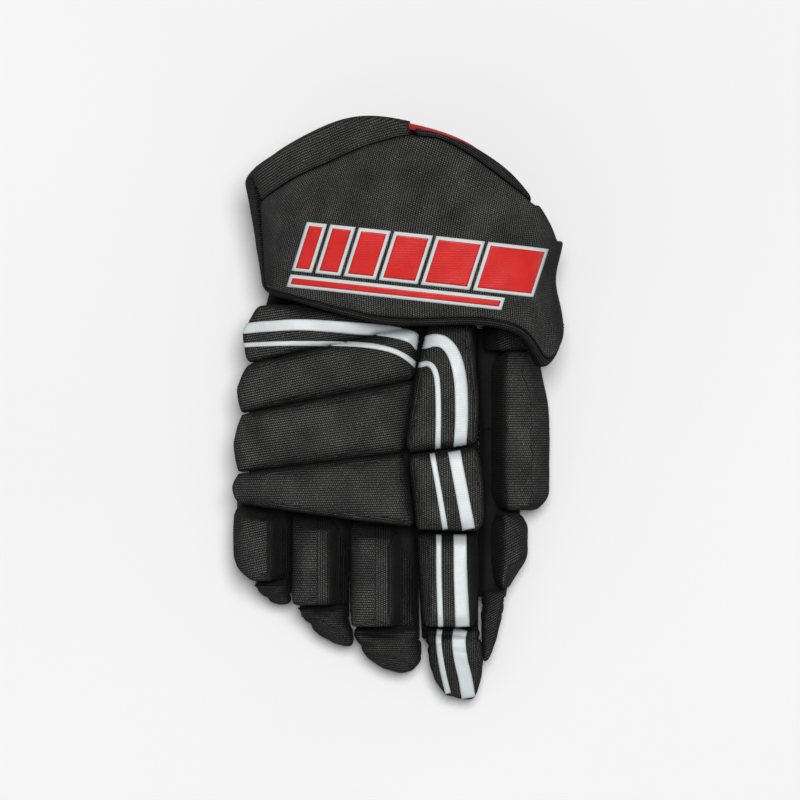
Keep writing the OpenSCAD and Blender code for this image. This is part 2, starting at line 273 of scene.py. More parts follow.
def foam(name):
    n = Nodes(name)
    place = n.place()
    cells = n.add("ShaderNodeTexVoronoi")
    cells.inputs["Scale"].default_value = 900.0
    n.link(place, cells.inputs["Vector"])
    distance = cells.outputs["Distance"]
    color = n.ramp(distance, [(0.0, (0.10, 0.10, 0.10)), (0.7, (0.26, 0.26, 0.25))])
    return n.finish(color, 0.9, n.bump(distance, 0.3), shaded=False)


def mottled(name, scale, stops, rough, depth, **values):
    """A plain stuff with one noise in its tone and its surface."""
    n = Nodes(name)
    tone = n.noise(n.place(), scale)
    return n.finish(n.ramp(tone, stops), rough, n.bump(tone, depth), **values)


KNIT = knit("knit")
# The same knit with a darker top colour, for pieces that lie in shade under the cuff's hem, on its sides and
# by its mouth: painted shade.
KNIT_PAINTED_SHADE = knit("knit_dark", light=(0.112, 0.112, 0.110))
KNIT_TIP = knit("fingertip_knit", rib=1.3, bead=1.1, light=(0.135, 0.137, 0.132), depth=0.3)
MESH = mesh_cloth("gusset_mesh")
LINING = mesh_cloth("lining", cell=1.1)
SUEDE = suede("palm_suede")
SUEDE_PATCH = suede("patch_suede", dark=(0.012, 0.012, 0.012), light=(0.05, 0.048, 0.046))
WHITE_FILM = film("stripe_film", (0.74, 0.80, 0.79), (0.68, 0.75, 0.74))
RED_FILM = film("emblem_film", (0.76, 0.022, 0.018), (0.66, 0.016, 0.014))
RED_TAPE = tape("binding_tape", (0.30, 0.006, 0.010), (0.62, 0.016, 0.024))
THREAD = mottled(
    "thread", 3000.0, [(0.2, (0.012, 0.012, 0.012)), (0.9, (0.075, 0.072, 0.07))], 0.55, 0.15, specular=0.4
)
PLASTIC = suede("stiffener_plastic", (0.45, 0.45, 0.44), (0.7, 0.7, 0.68), shaded=False)
FOAM = foam("foam_core")
FLOOR = mottled(
    "floor_paint", 3.0, [(0.0, (0.93, 0.93, 0.93)), (1.0, (0.96, 0.96, 0.96))], 0.9, 0.05,
    specular=0.1, shaded=False,
)


# ---------------- mesh helpers

def add_object(name, data):
    obj = bpy.data.objects.new(name, data)
    bpy.context.scene.collection.objects.link(obj)
    return obj


@contextmanager
def editing(obj):
    """The mesh of an object as a bmesh, written back afterwards."""
    bm = bmesh.new()
    bm.from_mesh(obj.data)
    yield bm
    bm.to_mesh(obj.data)
    bm.free()


def make_object(name, points, faces, material):
    """A smooth mesh object from points in millimetres."""
    mesh = bpy.data.meshes.new(name)
    mesh.from_pydata((np.asarray(points) * MM).tolist(), [], faces)
    mesh.materials.append(material)
    obj = add_object(name, mesh)
    with editing(obj) as bm:
        bmesh.ops.recalc_face_normals(bm, faces=bm.faces)
    smooth(obj)
    return obj


def dress(obj, nodes=(), body=None):
    """Hides the CAD nodes that a piece stands in for, and attaches the piece to the body it rides on, if
    any.
    """
    if nodes:
        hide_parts(*nodes)
    if body:
        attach(obj, body)


def smooth(obj):
    obj.data.polygons.foreach_set("use_smooth", [True] * len(obj.data.polygons))
    obj.data.update()


def read_vertices(mesh, key):
    values = np.empty(len(mesh.vertices) * 3)
    mesh.vertices.foreach_get(key, values)
    return values.reshape(-1, 3)


def get_points(obj):
    """The vertices of an object's mesh in millimetres."""
    return read_vertices(obj.data, "co") / MM


def set_points(obj, points):
    obj.data.vertices.foreach_set("co", (points * MM).ravel())
    obj.data.update()


def get_normals(obj):
    return read_vertices(obj.data, "normal")


def unit(vectors):
    return vectors / np.maximum(np.linalg.norm(vectors, axis=-1, keepdims=True), 1e-9)


def bake(obj, kind, **values):
    """Adds a modifier with the given settings and applies it."""
    modifier = obj.modifiers.new(kind, kind)
    for key, value in values.items():
        setattr(modifier, key, value)
    graph = bpy.context.evaluated_depsgraph_get()
    mesh = bpy.data.meshes.new_from_object(obj.evaluated_get(graph))
    obj.modifiers.clear()
    obj.data = mesh
    smooth(obj)


def set_weave(obj, weave):
    """Stores cloth coordinates in millimetres: along the ribs, across them."""
    full = np.zeros((len(weave), 3), np.float32)
    full[:, : weave.shape[1]] = weave
    attributes = obj.data.attributes
    layer = attributes.get("weave") or attributes.new("weave", "FLOAT_VECTOR", "POINT")
    layer.data.foreach_set("vector", full.ravel())


def even_out(obj, values, rounds=2):
    """Averages values over the edges of a mesh."""
    ends = np.empty(len(obj.data.edges) * 2, np.int64)
    obj.data.edges.foreach_get("vertices", ends)
    a, b = ends[::2], ends[1::2]
    for _ in range(rounds):
        total, count = values.copy(), np.ones(len(values))
        for p, q in ((a, b), (b, a)):
            total += np.bincount(p, values[q], len(values))
            count += np.bincount(p, minlength=len(values))
        values = total / count
    return values


SIDE_FACING = 0.68


def flat_weave(obj, degrees):
    """Ribs run at this angle from +X on top, and wrap down over the sides.
    degrees may be a function of the points, for a pad sewn from pieces cut differently."""
    points, normals = get_points(obj), get_normals(obj)
    normals = np.stack([even_out(obj, normals[:, k], 7) for k in range(3)], 1)
    normals = unit(normals)
    turn = np.radians(degrees(points) if callable(degrees) else np.full(len(points), degrees))
    zero = np.zeros(len(points))
    along = np.stack([np.cos(turn), np.sin(turn), zero], 1)
    across = np.stack([-np.sin(turn), np.cos(turn), zero], 1)
    coordinates = []
    for direction in (along, across):
        facing = (normals * direction).sum(1)
        on_top = (points * direction).sum(1)
        down_side = -points[:, 2] * np.sign(facing)
        coordinates.append(np.where(np.abs(facing) > SIDE_FACING, down_side, on_top))
    set_weave(obj, np.stack(coordinates, 1))


def cad_points(*nodes):
    """The corner points of CAD nodes, in millimetres."""
    return np.concatenate([get_points(frame["nodes"][n]) for n in nodes])


def hull_object(name, points, material):
    bm = bmesh.new()
    for point in points:
        bm.verts.new(Vector(point * MM))
    made = bmesh.ops.convex_hull(bm, input=bm.verts)
    inside = {e for e in made["geom_interior"] if isinstance(e, bmesh.types.BMVert)}
    bmesh.ops.delete(bm, geom=list(inside), context="VERTS")
    mesh = bpy.data.meshes.new(name)
    bm.to_mesh(mesh)
    bm.free()
    mesh.materials.append(material)
    return add_object(name, mesh)


def relax(obj, rounds):
    """Evens out a mesh, and rounds its edges a little each round."""
    every_axis = {f"use_axis_{axis}": True for axis in "xyz"}
    with editing(obj) as bm:
        for _ in range(rounds):
            bmesh.ops.smooth_vert(bm, verts=bm.verts, factor=0.5, **every_axis)


def ease(t):
    """A smooth step from 0 to 1."""
    t = np.clip(t, 0, 1)
    return t * t * (3 - 2 * t)


def ripple(points, size, seed):
    """A smooth bumpy field from -1 to 1 over points, with bumps about size apart."""
    rng = np.random.default_rng(seed)
    field = np.zeros(len(points))
    for _ in range(6):
        direction = rng.normal(size=3)
        direction /= np.linalg.norm(direction)
        turns = points @ direction * math.tau / size * rng.uniform(0.7, 1.4)
        field += np.sin(turns + rng.uniform(0, math.tau))
    return field / 6 ** 0.5 / 1.4


# ---------------- padded pieces

PADS = []


def pad(name, covers, body, material, angle, foams=(), shape=None, voxel=2.2, soft=3,
        cap=1.2, wrinkle=0.2, detail=None):
    """A padded form: the hull of its CAD covers, remeshed and shaped, that waits for the cloth pass."""
    obj = hull_object(name, cad_points(*covers), material)
    bake(obj, "REMESH", mode="VOXEL", voxel_size=voxel * MM)
    if shape is not None:
        set_points(obj, shape(get_points(obj)))
    relax(obj, soft)
    dress(obj, (*covers, *foams))
    PADS.append({
        "obj": obj, "body": body, "angle": angle, "cap": cap, "wrinkle": wrinkle, "detail": detail
    })


CLOTH_FRAMES = 20


def add_cloth(obj):
    cloth = obj.modifiers.new("cloth", "CLOTH")
    settings = cloth.settings
    settings.quality = 4
    settings.mass = 0.2
    settings.tension_stiffness = 12
    settings.compression_stiffness = 12
    settings.shear_stiffness = 6
    settings.bending_stiffness = 0.4
    settings.use_pressure = True
    settings.uniform_pressure_force = 4.0
    settings.shrink_min = -0.012
    settings.effector_weights.gravity = 0
    cloth.collision_settings.use_collision = False
    cloth.point_cache.frame_start = 1
    cloth.point_cache.frame_end = CLOTH_FRAMES


def swell(entry, pushed):
    """Moves a pad's points towards the simulated ones, by no more than its cap."""
    rest = get_points(entry["obj"])
    move = pushed - rest
    length = np.linalg.norm(move, axis=1, keepdims=True)
    limit = entry["cap"] * np.tanh(length / entry["cap"])
    set_points(entry["obj"], rest + move / np.maximum(length, 1e-6) * limit)


def cloth_pass():
    """Blows up every pad a little with the cloth solver, then finishes its mesh."""
    for entry in PADS:
        add_cloth(entry["obj"])
    scene = bpy.context.scene
    for step in range(1, CLOTH_FRAMES + 1):
        scene.frame_set(step)
    graph = bpy.context.evaluated_depsgraph_get()
    moved = []
    for entry in PADS:
        moved.append(read_vertices(entry["obj"].evaluated_get(graph).data, "co") / MM)
    for entry, points in zip(PADS, moved):
        entry["obj"].modifiers.clear()
        swell(entry, points)
    scene.frame_set(1)
    for entry in PADS:
        finish_pad(entry)


def finish_pad(entry):
    obj = entry["obj"]
    bake(obj, "SUBSURF", levels=1)
    points, normals = get_points(obj), get_normals(obj)
    if entry["wrinkle"]:
        seed = len(obj.name)
        bumps = ripple(points, 17.0, seed) + 0.5 * ripple(points, 8.0, seed + 7)
        points = points + normals * (bumps * entry["wrinkle"])[:, None]
    if entry["detail"] is not None:
        points = entry["detail"](points, normals)
    set_points(obj, points)
    flat_weave(obj, entry["angle"])
    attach(obj, entry["body"])


def span(points, axis=0):
    """Each point's place along an axis, as a share of the whole length."""
    low, high = points[:, axis].min(), points[:, axis].max()
    return (points[:, axis] - low) / (high - low)


def tented(stops, knuckle_drop):
    """Scales heights across a pad's width, and lowers the end next to the knuckle.
    stops are (share of the width, share of the height)."""
    shares, heights = zip(*stops)

    def shape(points):
        moved = points.copy()
        low = points[:, 2].min()
        scale = np.interp(span(points), shares, heights)
        scale = scale * (1 - knuckle_drop * ease((span(points, 1) - 0.80) / 0.20))
        moved[:, 2] = low + (points[:, 2] - low) * scale
        return moved

    return shape


# ---------------- back of the hand

ROLL_ANGLES = (9.0, 13.0, 9.0, 1.0)


def roll_shape(points):
    """The little-finger end of a roll bends down round the side of the hand."""
    moved = points.copy()
    low = points[:, 2].min()
    bend = ease((points[:, 0].min() + 24 - points[:, 0]) / 24)
    moved[:, 2] = low + (points[:, 2] - low) * (1 - 0.30 * bend) - 3.5 * bend
    return moved


def build_back():
    for k, angle in enumerate(ROLL_ANGLES):
        roll, foams = f"back_roll_{k + 1}", ["back_roll_foams"]
        pad(roll, [roll + "_cover"], "hand", KNIT, angle, foams=foams, shape=roll_shape, soft=2)
    for part in ("knuckle_pad_upper", "knuckle_pad_lower"):
        pad(part, [part + "_cover"], "hand", KNIT, 90.0, foams=["knuckle_foams"], soft=2, wrinkle=0.15)


# ---------------- fingers

# Height of each finger pad across its width, as (share of the width, share of the height)
FINGER_TENTS = {
    "little": [(0, 0.55), (0.15, 0.88), (0.5, 1.0), (0.70, 0.86), (0.78, 0.3), (1, 0.05)],
    "ring": [(0, 0.80), (0.44, 1.0), (0.70, 0.86), (0.77, 0.3), (1, 0.05)],
    "middle": [(0, 0.80), (0.40, 1.0), (0.66, 0.86), (0.73, 0.3), (1, 0.05)],
    "index": [(0, 0.80), (0.22, 1.0), (0.84, 1.0), (0.92, 0.7), (1, 0.4)],
}
# The x of the ridge between a finger pad's two facets
RIDGES = {"little": -80.0, "ring": -50.0, "middle": -15.0}


def facet_ribs(ridge, left):
    """Ribs run at the angle left on the broad facet, and along the narrow one."""
    return lambda points: np.where(points[:, 0] < ridge, left, 90.0)


def ridge_seam(ridge):
    """A sewn seam pulls the cloth in along the ridge between the two facets."""
    def detail(points, normals):
        pull = np.exp(-(((points[:, 0] - ridge) / 0.9) ** 2)) * (normals[:, 2] > 0.3)
        return points - normals * (0.35 * pull)[:, None]

    return detail


def tip_shape(points):
    """A fingertip tapers in height to its end, and its palm side lifts a little."""
    moved = points.copy()
    low, high = points[:, 2].min(), points[:, 2].max()
    out = 1 - span(points, 1)
    share = (points[:, 2] - low) / (high - low)
    top = high - (high - low) * 0.34 * ease(out) ** 1.3
    bottom = low + 3.0 * ease((out - 0.55) / 0.45)
    moved[:, 2] = bottom + (top - bottom) * share
    return moved


def widened(left, right, length, bulge=0.0, bulge_start=14.0):
    """A fingertip with a wider root, over a length, and a bulge toward the thumb further out."""
    def shape(points):
        moved = tip_shape(points)
        out = points[:, 1].max() - points[:, 1]
        root = ease(1 - out / length)
        share = span(points) * 2 - 1
        moved[:, 0] += root * (right * np.clip(share, 0, 1) - left * np.clip(-share, 0, 1))
        moved[:, 0] += bulge * ease((out - bulge_start) / 6) * np.clip(share + 0.4, 0, 1)
        return moved

    return shape


TIP_SHAPES = {
    "little": widened(1.6, 0.4, 12, 1.0, 4.0), "ring": widened(1.6, 0.6, 14, 3.0, 9.0),
    "middle": widened(5.0, 0.4, 30, 2.4, 26.0), "index": widened(0.6, 0.8, 16),
}


def tip_folds(points, normals):
    """Creases across the soft cloth next to the joint."""
    along = points[:, 1].max() - points[:, 1]
    across = points[:, 0] - points[:, 0].mean()
    moved = points.copy()
    for place, depth, slant in ((5.0, 0.9, 0.10), (9.5, 0.7, -0.14), (14.5, 0.5, 0.18)):
        line = along - place - across * slant
        moved -= normals * (depth * np.exp(-((line / 1.3) ** 2)))[:, None]
    return moved


def build_fingers():
    for finger in FINGERS:
        ridge, left = RIDGES.get(finger), 14.0 if finger == "little" else 0.0
        pad(
            f"{finger}_pad", [f"{finger}_pad_cover"], f"{finger}_base", KNIT,
            facet_ribs(ridge, left) if ridge else 90.0, foams=[f"{finger}_pad_foam"],
            shape=tented(FINGER_TENTS[finger], 0.42 if ridge else 0.0), voxel=2.0, soft=1, cap=0.9,
            wrinkle=0.12, detail=ridge_seam(ridge) if ridge else None,
        )
        pad(
            f"{finger}_tip_pad", [f"{finger}_tip_cover", f"{finger}_tip_sleeve"], f"{finger}_tip", KNIT_TIP,
            90.0 if finger == "index" else 0.0, shape=TIP_SHAPES[finger], voxel=2.0,
            cap=1.5, wrinkle=0.3, detail=tip_folds,
        )


# ---------------- thumb

def thumb_ridge(points, left, ridge, drop):
    """Lowers the side next to the index finger, so that a ridge stands between two facets."""
    share = np.clip((ridge - points[:, 0]) / (ridge - left), 0, 1)
    return points[:, 2] * (1 - drop * share ** 0.8)


def thumb_shape(points):
    """The thumb pad narrows towards the wrist and rounds off at its far corner."""
    moved = points.copy()
    along = 1 - span(points, 1)
    root = ease((0.42 - along) / 0.42)
    end = ease((along - 0.90) / 0.10)
    right = np.clip((points[:, 0] - 64) / 26, 0, 1)
    moved[:, 2] = thumb_ridge(points, 50.5, 63.5, 0.7)
    moved[:, 0] -= right * (6.0 * root + 6.0 * end)
    moved[:, 0] -= 2.0 * np.clip((58 - points[:, 0]) / 7.5, 0, 1)
    moved[:, 1] += 2.2 * ease((0.12 - along) / 0.12)
    return moved


def distal_shape(points):
    moved = points.copy()
    along = 1 - span(points, 1)
    end = ease((along - 0.55) / 0.45)
    root = ease((0.2 - along) / 0.2)
    right = np.clip((points[:, 0] - 60) / 16, 0, 1)
    moved[:, 2] = thumb_ridge(points, 50.5, 63.0, 0.7) * (1 - 0.12 * end - 0.05 * root)
    moved[:, 0] -= right * (10.0 * end + 4.0 * root)
    moved[:, 0] -= 2.0 * np.clip((57 - points[:, 0]) / 6.5, 0, 1)
    return moved


def thumb_tip_shape(points):
    """The tip lies close along the index fingertip."""
    moved = points.copy()
    out = 1 - span(points, 1)
    moved[:, 0] = 49.6 + (points[:, 0] - 51.5) * 0.86
    moved[:, 1] -= 5.0 * out
    moved[:, 2] = points[:, 2] * (1 - 0.25 * ease(out))
    return moved


THUMB_PLATE = [(61, -146), (66, -146), (68.5, -124), (61, -124)]


def build_thumb():
    pad(
        "thumb_saddle_pad", ["thumb_saddle"], "hand", KNIT_PAINTED_SHADE, 22.0, cap=1.0, wrinkle=0.3,
    )
    pad(
        "thumb_pad", ["thumb_pad_cover"], "thumb_base", KNIT, 0.0, foams=["thumb_pad_foam"],
        shape=thumb_shape, voxel=2.6, cap=1.3, wrinkle=0.15,
    )
    pad(
        "thumb_distal_pad", ["thumb_distal_cover"], "thumb_tip", KNIT, 28.0, foams=["thumb_distal_foam"],
        shape=distal_shape,
    )
    plate, _ = outline_sheet("thumb_stiffener_plate", THUMB_PLATE, 20.6, 22.0, PLASTIC, 2.0)
    dress(plate, ["thumb_stiffener"], "thumb_tip")
    pad(
        "thumb_tip_pad", ["thumb_tip_cap"], "thumb_tip", KNIT_TIP, 30.0,
        shape=thumb_tip_shape, voxel=1.8, wrinkle=0.3, detail=tip_folds,
    )


# ---------------- sheets

def grid_faces(rows, columns, wrap, start=0):
    """Four-sided faces of a grid of points; with wrap, the last row joins the first."""
    faces = []
    for i in range(rows if wrap else rows - 1):
        for j in range(columns - 1):
            a, b = i * columns + j, (i + 1) % rows * columns + j
            faces.append((start + a, start + b, start + b + 1, start + a + 1))
    return faces


def stacked(*grids):
    """The points of several grids in one list."""
    return np.concatenate([grid.reshape(-1, grid.shape[-1]) for grid in grids])


def grid_solid(name, outer, inner, material, weave, wrap=False):
    """A closed solid between two grids of points. With wrap, the first and last rows join."""
    rows, columns = outer.shape[:2]
    count = rows * columns
    faces = grid_faces(rows, columns, wrap) + grid_faces(rows, columns, wrap, count)
    for i in range(rows if wrap else rows - 1):
        for j in (0, columns - 1):
            a, b = i * columns + j, (i + 1) % rows * columns + j
            faces.append((a, b, b + count, a + count))
    if not wrap:
        for i in (0, rows - 1):
            for j in range(columns - 1):
                a = i * columns + j
                faces.append((a, a + 1, a + 1 + count, a + count))
    obj = make_object(name, stacked(outer, inner), faces, material)
    set_weave(obj, stacked(weave, weave))
    return obj


def grid_normals(points, wrap):
    """Unit normals of a grid, by central differences."""
    if wrap:
        along = np.roll(points, -1, 0) - np.roll(points, 1, 0)
    else:
        along = np.gradient(points, axis=0)
    return unit(np.cross(along, np.gradient(points, axis=1)))


def arc_lengths(points, axis=0):
    """Distances along one axis of a grid of points, from its first edge."""
    steps = np.linalg.norm(np.diff(points, axis=axis), axis=-1)
    first = np.zeros_like(np.take(steps, [0], axis))
    return np.concatenate([first, np.cumsum(steps, axis=axis)], axis=axis)


def grid_weave(points):
    return np.stack([arc_lengths(points, 0), arc_lengths(points, 1)], -1)


def spline(p0, p1, p2, p3, t):
    """A smooth curve from p1 to p2."""
    bend = (2 * p0 - 5 * p1 + 4 * p2 - p3) * t ** 2 + (3 * p1 - p0 - 3 * p2 + p3) * t ** 3
    return 0.5 * (2 * p1 + (p2 - p0) * t + bend)


# ---------------- cuff

# Outer cross-sections of the cuff in x and z, at the two ends of the y range
CUFF_Y = (-40.0, 130.0)
CUFF_LOW = np.array([
    (-48, 0.5), (68, 0.5), (90, 12), (98, 38), (93, 58), (76, 67), (45, 70), (10, 70), (-25, 66),
    (-52, 58), (-68, 46), (-72, 28), (-64, 8),
], float)
CUFF_HIGH = np.array([
    (-62, 0.5), (62, 0.5), (86, 10), (98, 36), (96, 64), (82, 89), (46, 105), (0, 111), (-46, 107),
    (-82, 93), (-99, 66), (-101, 36), (-88, 10),
], float)
CUFF_COUNT = len(CUFF_LOW)

# Edges of the cuff: (place around the ring, y)
HEM = [
    (0, 20), (1, 20), (1.7, 18), (2.4, 6), (3, -8), (3.6, -20), (4.15, -29), (4.5, -31), (4.75, -21),
    (5, -12), (5.4, -7), (6, -4), (7, -5.5), (7.5, -5), (8, 0), (8.6, 5), (9.2, 9.5), (10, 12.5), (11, 17),
    (12, 20), (13, 20),
]
MOUTH = [
    (0, 84), (1, 79), (2, 59), (3, 47), (3.9, 46), (4.2, 53), (4.45, 60), (4.7, 64.5), (5, 71.5), (5.5, 89),
    (6, 103), (6.5, 112), (7, 117), (7.3, 119.5), (7.6, 119.5), (8, 114.5), (8.5, 106), (9, 98.5),
    (9.5, 93.5), (10, 90), (10.5, 87), (11, 84.5), (12, 84), (13, 84),
]
CREASE = [
    (4.9, 68), (5, 68.5), (5.5, 81), (6, 95), (6.5, 107), (7, 109), (7.5, 102.5), (8, 93.5), (8.5, 86),
    (9, 78), (9.6, 70.5), (10, 68),
]
# Where the main panel ends on the little-finger side, at the hem and at the crease
LEFT_EDGE = (10.25, 9.65)
# Depths at places around the ring: the padded wall, the lining under it, and the red binding at the mouth
WALL = [(1.0, 2.4), (1.7, 4.0), (3.0, 8.5), (10.5, 8.5), (11.4, 5.0), (12.2, 2.4)]
LINING_UNDER = [(0, 3.0), (1, 3.0), (2, 8.6), (3, 11.0), (11, 11.0), (12, 8.6), (13, 3.0)]
BINDING_DEEP = [
    (0, 2.4), (1, 2.4), (2, 5.5), (3, 6.6), (5.3, 7.4), (5.8, 4.6), (6.8, 4.6), (7.2, 6.6), (11, 6.6),
    (12, 5.5), (13, 2.4),
]
# Where the middle of the binding lies from the mouth, and its radius
BINDING_LIFT = [
    (0, -3.9), (4.4, -4.1), (4.9, -6.5), (5.3, -4.7), (5.6, -3.5), (6.1, -2.3), (6.9, -2.3), (7, -4.5),
    (13, -3.9),
]
BINDING_RADIUS = [(0.5, 1.2), (2.5, 1.9), (10.5, 1.9), (12.5, 1.2)]


def read_table(table, s):
    """A straight reading of a table of (place, value)."""
    return np.interp(s, *zip(*table))


def closed_curve(points, s):
    """Smooth closed curve through points; s counts from one point to the next."""
    i = np.floor(s).astype(int)
    near = (points[(i + k) % len(points)] for k in (-1, 0, 1, 2))
    return spline(*near, (s - i)[..., None])


def cuff_surface(s, y):
    """The outer surface at places s around the ring and y along the arm."""
    share = ((y - CUFF_Y[0]) / (CUFF_Y[1] - CUFF_Y[0]))[..., None]
    flat = closed_curve(CUFF_LOW, s) * (1 - share) + closed_curve(CUFF_HIGH, s) * share
    return np.stack([flat[..., 0], y, flat[..., 1]], -1)


def cuff_normal(s, y):
    step_s = cuff_surface(s + 0.02, y) - cuff_surface(s - 0.02, y)
    step_y = cuff_surface(s, y + 0.5) - cuff_surface(s, y - 0.5)
    return unit(np.cross(step_y, step_s))


def edge_line(table, s):
    """A smooth reading of an edge table."""
    places, values = zip(*table)
    fine = np.linspace(places[0], places[-1], 600)
    curve = np.interp(fine, places, values)
    for _ in range(3):
        curve = np.convolve(np.pad(curve, 9, mode="edge"), np.ones(19) / 19, mode="valid")
    return np.interp(np.mod(s, CUFF_COUNT), fine, curve)


def rounded(distance, radius):
    """How far a rounded edge has dropped, as a share, at a distance from it."""
    t = np.clip(distance / radius, 0, 1)
    return 1 - np.sqrt(1 - (1 - t) ** 2)


def waist(s, y):
    """How deep the padding dips on the thumb side, where the cuff bends with the thumb."""
    side = ease((5.2 - s) / 1.2) * ease((s - 1.8) / 1.0)
    return 4.2 * side * np.exp(-(((y - 24) / 17) ** 2))


def cuff_patch(name, s0, s1, low, high, material, sides, size, nodes=(), thick=8.5, sunk=0.0,
               turn=False, bumps=0.35):
    """A padded patch on the cuff, as thick as the wall if thick is None.
    low and high give its y edges from s; s0 and s1 may be (low end, high end) pairs.
    sides gives (radius, drop) of the low, high, first and last edges."""
    rows, columns = size
    v = np.linspace(0, 1, columns)[None, :]
    a = np.linspace(0, 1, rows)[:, None]
    start, stop = (e[0] + (e[1] - e[0]) * v if isinstance(e, tuple) else e for e in (s0, s1))
    s = start + (stop - start) * a + 0 * v
    y = low(s) + (high(s) - low(s)) * v
    surface, normal = cuff_surface(s, y), cuff_normal(s, y)
    up, round_ = arc_lengths(surface, 1), arc_lengths(surface, 0)
    distances = (up, up[:, -1:] - up, round_, round_[-1:] - round_)
    depth = waist(s, y) + sum(drop * rounded(d, radius) for d, (radius, drop) in zip(distances, sides))
    flat = surface.reshape(-1, 3)
    field = (ripple(flat, 60.0, len(name)) + 0.4 * ripple(flat, 22.0, len(name) + 3)).reshape(rows, columns)
    wall = read_table(WALL, s) if thick is None else thick + 0 * s
    depth = np.minimum(depth, wall * DEEPEST_DROP)
    outer = surface - normal * (depth + sunk - bumps * field)[..., None]
    inner = surface - normal * (wall + sunk)[..., None]
    weave = np.stack([up, round_], -1) if turn else np.stack([round_, up], -1)
    dress(grid_solid(name, outer, inner, material, weave), nodes, "cuff")


def hem(s):
    return edge_line(HEM, s)


def mouth(s):
    return edge_line(MOUTH, s)


def crease(s):
    return edge_line(CREASE, s)


HEM_WIDTH = 5.5
# The most that an edge may drop, as a share of the wall
DEEPEST_DROP = 0.85
# Edges of patches as (radius, drop)
SEAM = (2.0, 1.3)
ROUND = (6.5, 7.0)
FOLD = (3.0, 4.0)
CREASE_EDGE = (1.4, 0.7)


def main_top(s):
    """The far edge of the main panel: the crease on the back, the mouth on the thumb side."""
    return np.where(s < 4.95, np.minimum(mouth(s), 68.2), crease(s)) - 0.3


def cuff_panels():
    cuff_patch(
        "cuff_main_panel", 3.0, LEFT_EDGE, lambda s: hem(s) + HEM_WIDTH, main_top, KNIT,
        (SEAM, CREASE_EDGE, SEAM, SEAM), (220, 110), ["cuff_main_cover", "cuff_main_foam"],
        turn=True, bumps=0.7,
    )
    cuff_patch(
        "cuff_rim_panel_left", 6.88, (9.62, 9.9), lambda s: crease(s) + 0.3, mouth, KNIT,
        (CREASE_EDGE, ROUND, FOLD, SEAM), (100, 36), ["cuff_rim_cover"], sunk=0.4, bumps=0.6,
    )
    cuff_patch(
        "cuff_rim_panel_right", 4.98, 6.84, lambda s: crease(s) + 0.3,
        lambda s: mouth(s) + read_table([(5.0, 0.4), (5.4, 0.6), (6.0, -1.0), (6.84, -2.0)], s), KNIT_PAINTED_SHADE,
        (SEAM, (2.8, 2.4), (5, 4), FOLD), (80, 30), sunk=1.2,
    )
    cuff_patch(
        "cuff_side_panel_left", (10.29, 9.69), 12.2, hem, mouth, KNIT_PAINTED_SHADE,
        (ROUND, ROUND, FOLD, SEAM), (60, 70), ["cuff_left_panel"], thick=None, sunk=0.3,
    )
    cuff_patch(
        "cuff_side_panel_right", 1.2, 2.97, hem, mouth, KNIT_PAINTED_SHADE,
        (ROUND, ROUND, SEAM, SEAM), (50, 60), ["cuff_right_panel"], thick=None, sunk=0.3,
    )
    cuff_patch(
        "cuff_palm_panel_leather", 12.05, 14.32, hem, mouth, SUEDE,
        ((2, 1.0), (2, 1.0), SEAM, SEAM), (90, 50), ["cuff_palm_panel"],
        thick=1.8, sunk=1.0, bumps=0.1,
    )
    cuff_patch(
        "cuff_hem_roll", 2.97, (10.3, 10.27), hem, lambda s: hem(s) + HEM_WIDTH - 0.1, KNIT_PAINTED_SHADE,
        (ROUND, SEAM, SEAM, SEAM), (220, 14), ["cuff_hem"], thick=11.6, sunk=0.3, bumps=0.1,
    )


def lining_depth(s):
    return read_table(LINING_UNDER, np.mod(s, CUFF_COUNT))


def build_lining():
    """The lining tube inside the padded wall."""
    s = np.linspace(0, CUFF_COUNT, 160, endpoint=False)[:, None]
    v = np.linspace(0, 1, 40)[None, :]
    low = hem(s) + 3
    y = low + (mouth(s) - 3.5 - low) * v
    s = s + 0 * v
    normal = cuff_normal(s, y)
    outer = cuff_surface(s, y) - normal * lining_depth(s)[..., None]
    lining = grid_solid("cuff_lining_tube", outer, outer - normal, LINING, grid_weave(outer), wrap=True)
    dress(lining, ["cuff_liner"], "cuff")


def build_binding():
    """Woven tape rolled over the edge of the mouth, all the way round."""
    count, sides = 240, 12
    s = np.linspace(0, CUFF_COUNT, count, endpoint=False)
    y = mouth(s) + read_table(BINDING_LIFT, s)
    normal = cuff_normal(s, y)
    centre = cuff_surface(s, y) - normal * read_table(BINDING_DEEP, s)[:, None]
    turn = np.linspace(0, math.tau, sides, endpoint=False)[None, :, None]
    ring = np.cos(turn) * np.array([0, 1.0, 0]) + np.sin(turn) * normal[:, None, :]
    points = centre[:, None, :] + ring * read_table(BINDING_RADIUS, s)[:, None, None]
    faces = []
    for i in range(count):
        for j in range(sides):
            a, b = i * sides, (i + 1) % count * sides
            faces.append((a + j, b + j, b + (j + 1) % sides, a + (j + 1) % sides))
    binding = make_object("cuff_mouth_binding", stacked(points), faces, RED_TAPE)
    dress(binding, ["mouth_binding"], "cuff")


# ---------------- films printed on the cloth

def surface_tree(*objects):
    """A search tree over the meshes of objects, in millimetres."""
    points, faces = [], []
    for obj in objects:
        start = len(points)
        points.extend(get_points(obj).tolist())
        faces.extend([tuple(start + i for i in p.vertices) for p in obj.data.polygons])
    return BVHTree.FromPolygons(points, faces)


FAR_ABOVE, FAR_OUT = 400.0, 80.0
SHEET_ROOT = 0.25


def drop_onto(tree, x, y, edge):
    """The surface point under (x, y) and its normal. edge may be (x, z, radius) of a rounded end: a point
    beyond that x is found by looking at the end from round its axis, so that a print can wrap over it."""
    if edge is None or x >= edge[0]:
        return tree.ray_cast(Vector((x, y, FAR_ABOVE)), Vector((0, 0, -1)))[:2]
    turn = (edge[0] - x) / edge[2]
    out = Vector((-math.sin(turn), 0, math.cos(turn)))
    return tree.ray_cast(Vector((edge[0], y, edge[1])) + out * FAR_OUT, -out)[:2]


